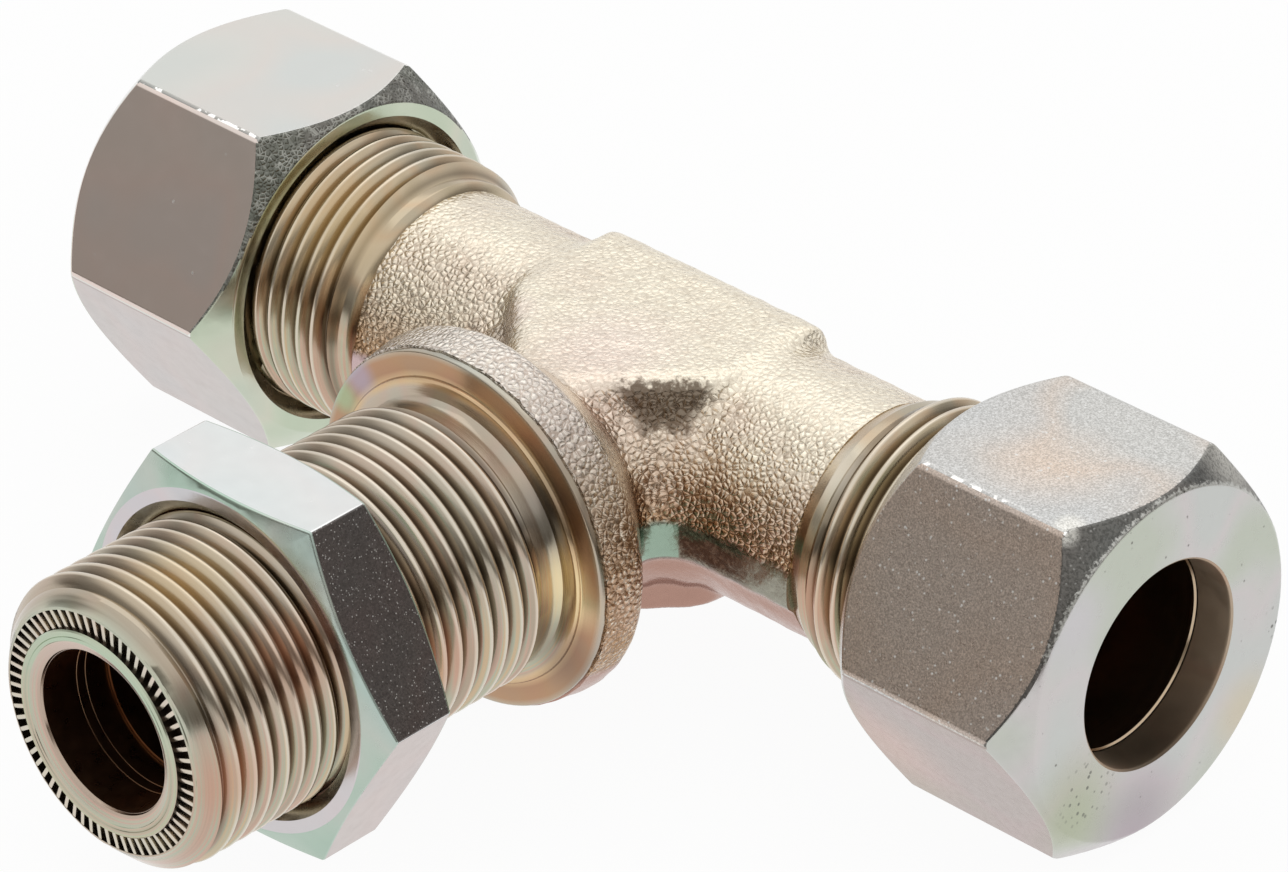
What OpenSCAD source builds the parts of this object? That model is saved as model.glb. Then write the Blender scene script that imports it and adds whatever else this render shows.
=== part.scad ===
// Bulkhead branch tee for compression-jointed tube, light series.
// The run lies along X, the branch points along -Y, and the three axes cross at the origin.
// All lengths are in millimetres. Threads are plain cylinders at their major diameter.

/* [Tube and thread] */
// Outside diameter of the tube that the fitting joins
tube_d = 15; // [12:0.5:16]
// Major diameter of every external thread
thread_d = 22; // [21:0.1:24]
// Pitch of every thread
thread_pitch = 1.5; // [1:0.25:1.5]
// Radial clearance round the tube in its sockets
tube_clear = 0.1; // [0.05:0.05:0.2]
// Radial clearance between an external thread and its nut
thread_clear = 0.05; // [0.02:0.01:0.1]

/* [Run] */
// From the branch axis to each end of the run
run_len = 36.5; // [34:0.5:44]
// Diameter of the forged run arms
arm_d = 18.8; // [18:0.1:20]
// Length of the turned and threaded end of each run arm
stud_len = 13.9; // [12:0.1:14.5]
// Diameter of the machined shoulder and thread relief
relief_d = 20; // [19.2:0.1:20.6]
// Length of the slope from each arm up to its shoulder
shoulder_slope = 1; // [0.5:0.1:2]
// Length of the thread relief at each end of the run
relief_len = 0.7; // [0.4:0.1:1.5]
// Diameter of the passage through the run
bore_d = 12; // [8:0.5:12.5]

/* [Tube sockets] */
// Depth at which the tube meets its stop
socket_depth = 7; // [6:0.25:9]
// Mouth diameter of the sealing cone
cone_mouth_d = 17; // [16.8:0.1:18]
// Half angle of the sealing cone, in degrees
cone_half_angle = 12; // [10:1:14]

/* [Centre block] */
// Across the spanner flats on the top and underside
block_af = 19.2; // [19.2:0.2:21]
// Length of the block along the run, at its foot
block_len = 20.6; // [18:0.2:24]
// From the run axis to the block's far side
block_back = 7; // [5:0.5:8.5]
// From the run axis to the block's foot on the branch side
block_front = 11.2; // [9:0.2:13]
// Radius along the block's far edges
block_edge_r = 2.6; // [1:0.2:3.5]
// Width of the slopes down from the spanner flats
block_slope = 2; // [1:0.2:3]
// Width of the diagonal flats in the two crotches
crotch_flat = 5.4; // [3:0.2:8]

/* [Branch neck] */
// Diameter of the forged neck between the block and the flange
neck_d = 18.4; // [17:0.2:18.6]

/* [Trimmed flash] */
// How far the trimmed flash line stands proud of the forging
flash_proud = 0.35; // [0.1:0.05:0.8]
// Top of the flash line above the parting plane
flash_top = 0.6; // [0.2:0.1:1.5]
// Bottom of the flash line below the parting plane
flash_bottom = 2.6; // [1:0.1:3.5]
// Radius of the flash line in each crotch between the run and the neck
crotch_r = 3.2; // [1:0.2:5]

/* [Bulkhead flange] */
// From the run axis to the machined face of the flange
flange_at = 20.5; // [20:0.5:26]
// Thickness of the flange's rim
flange_t = 3.5; // [2:0.25:5]
// Diameter of the flange at its machined face
flange_d = 27.4; // [25:0.2:30]
// Diameter of the flange at the back of its rim
flange_back_d = 28.6; // [26:0.2:31]
// Length of the slope behind the flange
flange_slope = 4.6; // [1:0.2:5]
// Diameter of the turned ring that stands on the flange's face
spigot_d = 23.6; // [22.6:0.2:25]
// Height of the turned ring
spigot_h = 0.4; // [0.2:0.1:0.8]
// Edge break on the flange
flange_edge = 0.6; // [0.2:0.1:1]

/* [Branch stud] */
// From the run axis to the serrated end of the branch
branch_len = 55; // [50:0.5:70]
// Length of the smooth band between the flange's ring and the branch thread
band_len = 1.8; // [0.5:0.1:2.4]
// Diameter of the passage along the branch
branch_bore_d = 11.8; // [8:0.2:12]
// Diameter of the branch's mouth
branch_mouth_d = 12.2; // [12.2:0.1:13]
// Depth of the branch's mouth
branch_mouth_depth = 6.5; // [4:0.5:10]
// Chamfer at the free end of each thread, measured along the axis
end_chamfer = 1.7; // [0.5:0.1:2]

/* [Serrated face] */
// Number of serrations round the end of the branch
tooth_count = 64; // [24:4:80]
// Inside diameter of the serrated band
tooth_in_d = 15.6; // [15.5:0.1:16]
// Outside diameter of the serrated band
tooth_out_d = 18.2; // [17.6:0.1:18.4]
// Width of each notch between two serrations
notch_w = 0.42; // [0.2:0.02:0.5]
// Depth of each notch
notch_depth = 0.5; // [0.2:0.05:0.8]
// Outside diameter of the smooth lip inside the serrations
lip_d = 15.4; // [14.6:0.1:15.4]
// Height of the smooth lip
lip_h = 0.3; // [0.1:0.05:0.6]
// Width of the countersink inside the lip
lip_bevel = 0.8; // [0.2:0.1:1]
// Depth of the countersink inside the lip
lip_bevel_h = 0.45; // [0.2:0.05:0.8]

/* [Union nuts] */
// Across the flats of the union nuts
nut_af = 27; // [26.5:0.5:32]
// Length of the union nuts
nut_len = 17.6; // [17:0.2:21]
// Diameter at which the corner chamfers meet the nuts' faces
nut_face_d = 26.4; // [25.5:0.1:26.4]
// Thickness of the end wall round the tube
nut_wall = 3; // [2:0.25:4]
// Radial clearance round the tube in the nut's end wall
nut_tube_clear = 0.25; // [0.15:0.05:0.4]
// Countersink at the nut's mouth
nut_mouth = 0.9; // [0.3:0.1:1]
// Break on the edge of the tube hole
hole_edge = 0.2; // [0.1:0.05:0.3]
// How far the right nut's outer face stands beyond the end of the run
right_nut_out = 10.5; // [10.5:0.1:14]
// How far the left nut's outer face stands beyond the end of the run
left_nut_out = 12.1; // [10.5:0.1:14]

/* [Cutting rings] */
// Length of the cutting rings
ring_len = 9.8; // [9:0.1:10.4]
// Diameter of the ring's shoulder
ring_d = 19.2; // [18.6:0.1:19.6]
// Length of the ring's cutting nose
nose_len = 3.2; // [2.6:0.1:3.4]
// Thickness of the ring at the tip of its nose
nose_tip_t = 0.25; // [0.15:0.05:0.3]
// Slope of the ring's nose, in degrees
nose_angle = 11; // [6:0.5:11]
// Axial play between a ring and the cone in its nut
ring_play = 0.1; // [0.05:0.05:0.3]

/* [Lock nut] */
// Across the flats of the lock nut
lock_af = 27; // [26.5:0.5:32]
// Thickness of the lock nut
lock_t = 7; // [5:0.5:9]
// Room for the bulkhead between the flange and the lock nut
lock_gap = 15.7; // [1:0.1:26]
// Diameter at which the corner chamfers meet the lock nut's faces
lock_face_d = 26; // [25.5:0.1:26.4]
// Slope of the lock nut's corner chamfers, in degrees
lock_chamfer_angle = 20; // [10:1:40]
// Countersink at each end of the lock nut's thread
lock_mouth = 0.8; // [0.3:0.1:1.2]

/* [Hidden] */
$fn = 96;
// Overshoot that lets a cut run cleanly past a face
cut = 1;
// Overlap that joins two forms of one solid
join = 0.2;
// Depth of an external thread as a share of its pitch
depth_share = 0.6134;
thread_r = thread_d / 2;
root_r = thread_r - depth_share * thread_pitch;
arm_r = arm_d / 2;
shoulder_at = run_len - stud_len;
right_face_at = run_len + right_nut_out;
left_face_at = run_len + left_nut_out;
lock_at = flange_at + lock_gap;
neck_r = neck_d / 2;
socket_r = tube_d / 2 + tube_clear;
cone_mouth_r = cone_mouth_d / 2;
cone_len = (cone_mouth_r - socket_r) / tan(cone_half_angle);
nut_hole_r = tube_d / 2 + nut_tube_clear;
nut_bore_r = thread_r + thread_clear;
nut_cone_len = nut_bore_r - nut_hole_r;
nose_tip_r = socket_r + nose_tip_t;
nose_foot_r = nose_tip_r + nose_len * tan(nose_angle);
ring_r = ring_d / 2;
block_half = block_len / 2;
flash_h = flash_top + flash_bottom;
forged = "#b9a98d";
plated = "#a9a49a";
smooth_plated = "#c9ccc2";
ring_steel = "#8c877c";

// Turns a shape built along Z so that it points along the run, to +X
module along_run() rotate([0, 90, 0]) children();

// Turns a shape built along Z so that it points along the branch, to -Y
module along_branch() rotate([90, 0, 0]) children();

// Draws a shape and its mirror image at the other end of the run
module both_ends() {
    children();
    mirror([1, 0, 0]) children();
}

// The turned outside of one end of the run: shoulder, relief, thread and its chamfers
module run_stud() {
    thread_from = shoulder_at + relief_len;
    lead = thread_r - relief_d / 2;
    along_run() rotate_extrude() polygon([
        [0, shoulder_at - shoulder_slope], [arm_r - join, shoulder_at - shoulder_slope],
        [relief_d / 2, shoulder_at],
        [relief_d / 2, thread_from], [thread_r, thread_from + lead],
        [thread_r, run_len - (thread_r - root_r)], [root_r, run_len], [0, run_len]
    ]);
}

// The inside of one end of the run: sealing cone and tube socket
module run_socket() {
    along_run() rotate_extrude() polygon([
        [0, run_len - socket_depth], [socket_r, run_len - socket_depth],
        [socket_r, run_len - cone_len], [cone_mouth_r, run_len],
        [cone_mouth_r + cut * tan(cone_half_angle), run_len + cut], [0, run_len + cut]
    ]);
}

// The block's outline seen from above, with a diagonal flat in each crotch
module block_plan() {
    c = crotch_flat / sqrt(2);
    polygon([
        [-block_half, block_back], [block_half, block_back],
        [block_half, c - block_front], [block_half - c, -block_front],
        [c - block_half, -block_front], [-block_half, c - block_front]
    ]);
}

// The block's outline along the run: the far edge is rounded and the branch side slopes
module block_side() {
    h = block_af / 2;
    r = block_edge_r;
    polygon([
        [block_back - r, h], [block_slope - block_front, h], [-block_front, h - block_slope],
        [-block_front, block_slope - h], [block_slope - block_front, -h], [block_back - r, -h]
    ]);
    translate([0, r - h]) square([block_back, block_af - 2 * r]);
    for (side = [-1, 1]) translate([block_back - r, side * (h - r)]) circle(r);
}

// The block's outline along the branch: both ends slope down to the run arms
module block_ends() {
    top = block_half - block_slope;
    h = block_af / 2 + cut;
    polygon([
        [-block_half, 0], [-block_half, h - cut - block_slope], [-top + cut, h], [top - cut, h],
        [block_half, h - cut - block_slope], [block_half, block_slope + cut - h],
        [top - cut, -h], [-top + cut, -h], [-block_half, block_slope + cut - h]
    ]);
}

// The forged block where the arms meet, with spanner flats above and below
module centre_block() intersection() {
    linear_extrude(height = block_af + 2 * cut, center = true) block_plan();
    rotate([90, 0, 90]) linear_extrude(height = block_len + 2 * cut, center = true) block_side();
    translate([0, block_back + cut, 0]) rotate([90, 0, 0])
        linear_extrude(height = block_back + block_front + 2 * cut) block_ends();
}

// The outline, seen from above, of the flash line's web in one crotch
module crotch_web() {
    reach_x = neck_r + flash_proud + crotch_r;
    reach_y = arm_r + flash_proud + crotch_r;
    difference() {
        translate([0, -reach_y]) square([reach_x, reach_y]);
        translate([reach_x, -reach_y]) circle(crotch_r);
    }
}

// The trimmed flash line round the outside of the forging, with a rounded web in each crotch
module flash_line() translate([0, 0, -flash_bottom]) linear_extrude(height = flash_h) {
    translate([-shoulder_at, -arm_r - flash_proud])
        square([2 * shoulder_at, 2 * (arm_r + flash_proud)]);
    translate([-neck_r - flash_proud, flange_t / 2 - flange_at])
        square([2 * (neck_r + flash_proud), flange_at - flange_t / 2]);
    both_ends() crotch_web();
}

// The neck, flange and long stud of the branch, turned about one axis
module branch_outside() {
    back_at = flange_at - flange_t;
    relief_from = flange_at + spigot_h;
    thread_from = relief_from + band_len;
    lead = thread_r - relief_d / 2;
    face_r = thread_r - end_chamfer;
    along_branch() rotate_extrude() polygon([
        [0, 0], [neck_r, 0], [neck_r, back_at - flange_slope],
        [flange_back_d / 2 - flange_edge, back_at - flange_edge / 2], [flange_back_d / 2, back_at],
        [flange_d / 2, flange_at - flange_edge / 2], [flange_d / 2 - flange_edge / 2, flange_at],
        [spigot_d / 2, flange_at], [spigot_d / 2, relief_from],
        [relief_d / 2, relief_from], [relief_d / 2, thread_from], [thread_r, thread_from + lead],
        [thread_r, branch_len - end_chamfer], [face_r, branch_len],
        [lip_d / 2, branch_len], [lip_d / 2, branch_len + lip_h], [0, branch_len + lip_h]
    ]);
}

// The passage, mouth and countersink of the branch
module branch_inside() {
    mouth_r = branch_mouth_d / 2;
    end_at = branch_len + lip_h;
    along_branch() rotate_extrude() polygon([
        [0, 0], [branch_bore_d / 2, 0], [branch_bore_d / 2, end_at - branch_mouth_depth],
        [mouth_r, end_at - branch_mouth_depth], [mouth_r, end_at - lip_bevel_h],
        [mouth_r + lip_bevel, end_at], [mouth_r + lip_bevel, end_at + cut], [0, end_at + cut]
    ]);
}

// The ring of radial notches in the end of the branch
module serrations() {
    band = (tooth_out_d - tooth_in_d) / 2;
    along_branch() for (i = [0 : tooth_count - 1]) rotate([0, 0, (i + 0.5) * 360 / tooth_count])
        translate([tooth_in_d / 2, -notch_w / 2, branch_len - notch_depth])
            cube([band, notch_w, notch_depth + cut]);
}

// The outside of a hexagon nut along Z, with chamfered corners at both faces
module hex_outside(across, length, face_d, slope) {
    corner_r = across / sqrt(3);
    over = corner_r + cut;
    drop = (over - face_d / 2) * tan(slope);
    intersection() {
        rotate([0, 0, 30]) cylinder(r = corner_r, h = length, $fn = 6);
        rotate_extrude() polygon([
            [0, 0], [face_d / 2, 0], [over, drop], [over, length - drop], [face_d / 2, length], [0, length]
        ]);
    }
}

// A union nut along Z, with its mouth at the origin and its tube hole at the far end
module union_nut() {
    hole_from = nut_len - nut_wall;
    difference() {
        hex_outside(nut_af, nut_len, nut_face_d, 45);
        rotate_extrude() polygon([
            [0, -cut], [nut_bore_r + nut_mouth + cut, -cut], [nut_bore_r, nut_mouth],
            [nut_bore_r, hole_from - nut_cone_len], [nut_hole_r, hole_from],
            [nut_hole_r, nut_len - hole_edge], [nut_hole_r + hole_edge + cut, nut_len + cut],
            [0, nut_len + cut]
        ]);
    }
}

// A cutting ring along Z, with its nose at the origin and its driven cone at the far end
module cutting_ring() {
    drive_r = nut_hole_r - ring_play;
    rotate_extrude() polygon([
        [socket_r, 0], [nose_tip_r, 0], [nose_foot_r, nose_len],
        [ring_r, nose_len + ring_r - nose_foot_r], [ring_r, ring_len - (ring_r - drive_r)],
        [drive_r, ring_len], [socket_r, ring_len]
    ]);
}

module tee_body() color(forged) difference() {
    union() {
        along_run() cylinder(r = arm_r, h = 2 * shoulder_at, center = true);
        both_ends() run_stud();
        centre_block();
        flash_line();
        branch_outside();
    }
    along_run() cylinder(d = bore_d, h = 2 * run_len, center = true);
    both_ends() run_socket();
    branch_inside();
    serrations();
}

module union_nut_right() color(plated) translate([right_face_at - nut_len, 0, 0]) along_run() union_nut();

module union_nut_left() color(smooth_plated) mirror([1, 0, 0])
    translate([left_face_at - nut_len, 0, 0]) along_run() union_nut();

module cutting_ring_right() color(ring_steel)
    translate([right_face_at - nut_wall - ring_play - ring_len, 0, 0]) along_run() cutting_ring();

module cutting_ring_left() color(ring_steel) mirror([1, 0, 0])
    translate([left_face_at - nut_wall - ring_play - ring_len, 0, 0]) along_run() cutting_ring();

module lock_nut() color(smooth_plated) along_branch() translate([0, 0, lock_at]) difference() {
    rotate([0, 0, 30]) hex_outside(lock_af, lock_t, lock_face_d, lock_chamfer_angle);
    rotate_extrude() polygon([
        [0, -cut], [nut_bore_r + lock_mouth + cut, -cut], [nut_bore_r, lock_mouth],
        [nut_bore_r, lock_t - lock_mouth], [nut_bore_r + lock_mouth + cut, lock_t + cut],
        [0, lock_t + cut]
    ]);
}

tee_body();
union_nut_right();
union_nut_left();
cutting_ring_right();
cutting_ring_left();
lock_nut();
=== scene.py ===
"""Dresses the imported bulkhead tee: cut threads, worn hexagon nuts, a blasted forging and plated steel.

Lengths are written in millimetres and become metres only where a mesh is made.
A turned piece is drawn along Z in its own frame and then laid along its arm of the tee.
"""

import logging
import math
from contextlib import contextmanager
from dataclasses import dataclass
from enum import Enum
from typing import Callable, Iterator, Optional, Sequence

import bpy
from mathutils import Matrix, Vector


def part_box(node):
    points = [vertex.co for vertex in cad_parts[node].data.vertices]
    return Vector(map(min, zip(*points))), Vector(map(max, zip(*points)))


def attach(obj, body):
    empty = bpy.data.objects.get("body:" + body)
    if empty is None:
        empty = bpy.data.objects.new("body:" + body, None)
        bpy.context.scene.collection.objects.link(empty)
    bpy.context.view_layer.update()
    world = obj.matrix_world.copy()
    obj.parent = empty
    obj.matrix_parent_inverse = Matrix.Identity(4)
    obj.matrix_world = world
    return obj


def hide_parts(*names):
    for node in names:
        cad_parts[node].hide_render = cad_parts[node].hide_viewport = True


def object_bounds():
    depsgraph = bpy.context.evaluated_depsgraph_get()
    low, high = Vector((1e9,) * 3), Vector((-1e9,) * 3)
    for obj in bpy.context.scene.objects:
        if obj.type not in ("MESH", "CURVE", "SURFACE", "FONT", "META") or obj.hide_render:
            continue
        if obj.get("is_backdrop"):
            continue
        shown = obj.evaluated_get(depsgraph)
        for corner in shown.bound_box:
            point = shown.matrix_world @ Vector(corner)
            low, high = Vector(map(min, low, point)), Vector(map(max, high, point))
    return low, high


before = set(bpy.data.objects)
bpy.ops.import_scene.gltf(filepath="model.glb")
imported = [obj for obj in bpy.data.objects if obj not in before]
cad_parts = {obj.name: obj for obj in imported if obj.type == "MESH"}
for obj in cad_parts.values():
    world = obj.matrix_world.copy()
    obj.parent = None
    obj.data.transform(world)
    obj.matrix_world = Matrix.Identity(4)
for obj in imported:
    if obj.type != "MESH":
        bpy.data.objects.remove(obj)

LOG = logging.getLogger("tee")
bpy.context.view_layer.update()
MM = 0.001
FULL_TURN = 2 * math.pi
WELD = 2e-6
CRISP_ANGLE = math.radians(35)
NUT_CRISP_ANGLE = math.radians(25)
COLUMNS = 120
OVERCUT = 1.0

Point = tuple[float, float]
Profile = Sequence[Point]
Place = tuple[float, float, float]
Colour = tuple[float, float, float]
Stops = Sequence[tuple[float, Colour]]
Places = tuple[tuple[Place, float], ...]
Spots = tuple[tuple[Place, float, Colour], ...]
Limit = Callable[[float, float], float]
Piece = bpy.types.Object


class Arm(Enum):
    """The way that a turned piece points, as the turn that lays its Z axis along an arm."""

    RIGHT = ("Y", 90)
    LEFT = ("Y", -90)
    BRANCH = ("X", 90)

    def matrix(self) -> Matrix:
        """The turn from the piece's own frame to the tee's."""
        axis, degrees = self.value
        return Matrix.Rotation(math.radians(degrees), 4, axis)


class Axis(Enum):
    """The axis that a lathe's marks run round."""

    RUN = "X"
    BRANCH = "Y"


def deselect() -> None:
    """Leaves object mode and clears the selection."""
    if bpy.context.mode != "OBJECT":
        bpy.ops.object.mode_set(mode="OBJECT")
    bpy.ops.object.select_all(action="DESELECT")


def pick(piece: Piece) -> Piece:
    """Makes one piece the only selected and active object."""
    deselect()
    piece.select_set(True)
    bpy.context.view_layer.objects.active = piece
    return piece


@contextmanager
def editing(piece: Piece) -> Iterator[None]:
    """Opens a piece for the mesh tools with all of it selected, and goes back to object mode afterwards."""
    pick(piece)
    bpy.ops.object.mode_set(mode="EDIT")
    bpy.ops.mesh.select_all(action="SELECT")
    yield
    bpy.ops.object.mode_set(mode="OBJECT")


def settle(piece: Piece) -> Piece:
    """Puts a piece's place, turn and scale into its mesh."""
    pick(piece)
    bpy.ops.object.transform_apply(location=True, rotation=True, scale=True)
    return piece


def finish_modifier(piece: Piece, kind: str, **settings: object) -> Piece:
    """Adds one modifier and applies it.

    Args:
        piece: The object that is changed.
        kind: The modifier's type.
        **settings: Values for the modifier's own properties.

    Returns:
        The same object.
    """
    pick(piece)
    modifier = piece.modifiers.new(kind.title(), kind)
    for name, value in settings.items():
        setattr(modifier, name, value)
    bpy.ops.object.modifier_apply(modifier=modifier.name)
    return piece


def combine(piece: Piece, tool: Piece, operation: str) -> Piece:
    """Joins or cuts one closed piece with another, and removes the tool.

    Args:
        piece: The closed piece that stays.
        tool: The closed piece that is used up.
        operation: UNION, DIFFERENCE or INTERSECT.

    Returns:
        The changed piece.
    """
    finish_modifier(piece, "BOOLEAN", operation=operation, object=tool, solver="MANIFOLD")
    bpy.data.objects.remove(tool)
    return piece


def join(name: str, parts: Sequence[Piece]) -> Piece:
    """Joins several objects into one mesh.

    Args:
        name: The joined object's name.
        parts: The objects, of which the first stays.

    Returns:
        The joined object.
    """
    pick(parts[0])
    for part in parts:
        part.select_set(True)
    bpy.ops.object.join()
    piece = bpy.context.active_object
    piece.name = name
    return piece


def weld(piece: Piece) -> Piece:
    """Merges doubled vertices, drops empty faces and turns the faces outward."""
    with editing(piece):
        bpy.ops.mesh.remove_doubles(threshold=WELD)
        bpy.ops.mesh.dissolve_degenerate(threshold=WELD / 4)
        bpy.ops.mesh.select_all(action="SELECT")
        bpy.ops.mesh.normals_make_consistent(inside=False)
    return piece


def draw_line(name: str, points: Sequence[Vector]) -> Piece:
    """Draws a chain of edges by extruding one vertex from point to point.

    Args:
        name: The new object's name.
        points: The points in millimetres.

    Returns:
        The new object, left in object mode.
    """
    deselect()
    bpy.ops.mesh.primitive_plane_add(size=MM)
    piece = bpy.context.active_object
    piece.name = name
    bpy.ops.object.mode_set(mode="EDIT")
    bpy.ops.mesh.merge(type="CENTER")
    here = Vector((0, 0, 0))
    for number, point in enumerate(points):
        step = (point - here) * MM
        if number:
            bpy.ops.mesh.extrude_region_move(TRANSFORM_OT_translate={"value": step})
        else:
            bpy.ops.transform.translate(value=step)
        here = point
    bpy.ops.object.mode_set(mode="OBJECT")
    return piece


def turn(name: str, profile: Profile, columns: int = COLUMNS) -> Piece:
    """Spins a profile about Z, as a lathe would turn it.

    Args:
        name: The new object's name.
        profile: The points, each a radius and a place along Z.
        columns: How many steps the spin takes.

    Returns:
        The turned skin, which is closed if its profile is closed or ends on the axis.
    """
    piece = draw_line(name, [Vector((radius, 0, along)) for radius, along in profile])
    with editing(piece):
        bpy.ops.mesh.spin(steps=columns, angle=FULL_TURN, center=(0, 0, 0), axis=(0, 0, 1))
    return weld(piece)


def raise_plan(name: str, plan: Sequence[Point], levels: Sequence[tuple[float, float]]) -> Piece:
    """Raises a plan through levels, each with its own height and its own scale about the Z axis.

    Args:
        name: The new object's name.
        plan: The plan's corners in order.
        levels: Height and scale of each level, from the lowest.

    Returns:
        The closed solid.
    """
    bottom, first = levels[0]
    piece = draw_line(name, [Vector((x, y, bottom)) for x, y in plan])
    with editing(piece):
        bpy.ops.mesh.edge_face_add()
        bpy.ops.transform.resize(value=(first, first, 1), center_override=(0, 0, 0))
        for (low, before), (high, after) in zip(levels, levels[1:]):
            bpy.ops.mesh.extrude_region_move(TRANSFORM_OT_translate={"value": (0, 0, (high - low) * MM)})
            bpy.ops.transform.resize(value=(after / before, after / before, 1), center_override=(0, 0, 0))
    return weld(piece)


def bevel_edges(piece: Piece, wanted: Callable[[Vector, Vector], bool], width: float, steps: int) -> None:
    """Bevels the edges whose two ends pass a test.

    Args:
        piece: The object that is changed.
        wanted: Says from the edge's two ends, in metres, whether it is bevelled.
        width: The bevel's width.
        steps: Its segments.
    """
    with editing(piece):
        bpy.ops.mesh.select_mode(type="EDGE")
        bpy.ops.mesh.select_all(action="DESELECT")
    points = piece.data.vertices
    for edge in piece.data.edges:
        a, b = (points[i].co for i in edge.vertices)
        edge.select = wanted(a, b)
    bpy.ops.object.mode_set(mode="EDIT")
    bpy.ops.mesh.bevel(offset=width * MM, segments=steps, affect="EDGES")
    bpy.ops.mesh.select_mode(type="VERT")
    bpy.ops.object.mode_set(mode="OBJECT")


def arc(centre: Point, radius: float, start: float, end: float, steps: int = 3) -> list[Point]:
    """Points along a round edge.

    Args:
        centre: The arc's centre.
        radius: The arc's own radius.
        start: The first angle in degrees.
        end: The last angle in degrees.
        steps: How many steps lie between them.

    Returns:
        The points, ends included.
    """
    angles = [math.radians(start + (end - start) * i / steps) for i in range(steps + 1)]
    return [(centre[0] + radius * math.cos(a), centre[1] + radius * math.sin(a)) for a in angles]


def lay(piece: Piece, arm: Arm) -> Piece:
    """Lays a piece that was made along Z along its arm, with its place in its mesh."""
    piece.matrix_world = arm.matrix() @ piece.matrix_world
    return settle(piece)


def smooth(piece: Piece, angle: float = CRISP_ANGLE) -> Piece:
    """Shades a piece smooth up to an angle between its faces."""
    pick(piece)
    bpy.ops.object.shade_smooth_by_angle(angle=angle)
    return piece


class Wire:
    """A value in a node tree, on which Python's operators add Math nodes."""

    def __init__(self, job: "Nodes", socket: bpy.types.NodeSocket) -> None:
        """Wraps one output socket of a node."""
        self.job = job
        self.socket = socket

    def _math(self, operation: str, *values: object) -> "Wire":
        """Adds one Math node on these values."""
        return self.job.node("ShaderNodeMath", {"operation": operation}, dict(enumerate(values)))

    def __add__(self, other: object) -> "Wire":
        """The sum."""
        return self._math("ADD", self, other)

    __radd__ = __add__

    def __sub__(self, other: object) -> "Wire":
        """The difference."""
        return self._math("SUBTRACT", self, other)

    def __rsub__(self, other: object) -> "Wire":
        """The difference, from a plain number."""
        return self._math("SUBTRACT", other, self)

    def __mul__(self, other: object) -> "Wire":
        """The product."""
        return self._math("MULTIPLY", self, other)

    __rmul__ = __mul__

    def __abs__(self) -> "Wire":
        """The size without its sign."""
        return self._math("ABSOLUTE", self)

    def step(self, low: float, high: float) -> "Wire":
        """A smooth step from 0 at low to 1 at high."""
        return self.job.node(
            "ShaderNodeMapRange", {"interpolation_type": "SMOOTHSTEP"},
            {"Value": self, "From Min": low, "From Max": high},
        )

    def fall(self, low: float, high: float) -> "Wire":
        """A smooth step from 1 at low to 0 at high."""
        return 1 - self.step(low, high)

    def share(self, low: float, high: float) -> "Wire":
        """The straight share of the way from low to high."""
        return self.job.node("ShaderNodeMapRange", {}, {"Value": self, "From Min": low, "From Max": high})


class Nodes:
    """A node tree while it is built."""

    def __init__(self, tree: bpy.types.NodeTree) -> None:
        """Takes the tree that is built."""
        self.tree = tree

    def node(self, kind: str, settings: dict, values: dict, output: object = 0) -> Wire:
        """Adds a node.

        Args:
            kind: The node's type.
            settings: The node's own properties, or a ramp's stops under "stops".
            values: Numbers, colours or wires for its inputs, by name or number.
            output: The output that is returned, by name or number.

        Returns:
            The wire from that output.
        """
        made = self.tree.nodes.new(kind)
        for name, value in settings.items():
            if name == "stops":
                self.set_stops(made.color_ramp, value)
            else:
                setattr(made, name, value)
        for name, value in values.items():
            self.feed(made.inputs[name], value)
        return Wire(self, made.outputs[output])

    @staticmethod
    def set_stops(ramp: bpy.types.ColorRamp, stops: Stops) -> None:
        """Fills a colour ramp."""
        while len(ramp.elements) < len(stops):
            ramp.elements.new(1.0)
        for element, (place, colour) in zip(ramp.elements, stops):
            element.position = place
            element.color = (*colour, 1.0)

    def feed(self, socket: bpy.types.NodeSocket, value: object) -> None:
        """Links a wire to an input or sets the input's own value."""
        if isinstance(value, Wire):
            self.tree.links.new(value.socket, socket)
        elif isinstance(value, tuple) and len(value) == 3 and socket.type == "RGBA":
            socket.default_value = (*value, 1.0)
        else:
            socket.default_value = value

    def blend(self, share: object, first: object, second: object) -> Wire:
        """Mixes two colours."""
        return self.node("ShaderNodeMix", {"data_type": "RGBA"}, {0: share, 6: first, 7: second}, 2)

    def ramp(self, value: Wire, stops: Stops) -> Wire:
        """Turns a number into a colour."""
        return self.node("ShaderNodeValToRGB", {"stops": stops}, {0: value})


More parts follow.
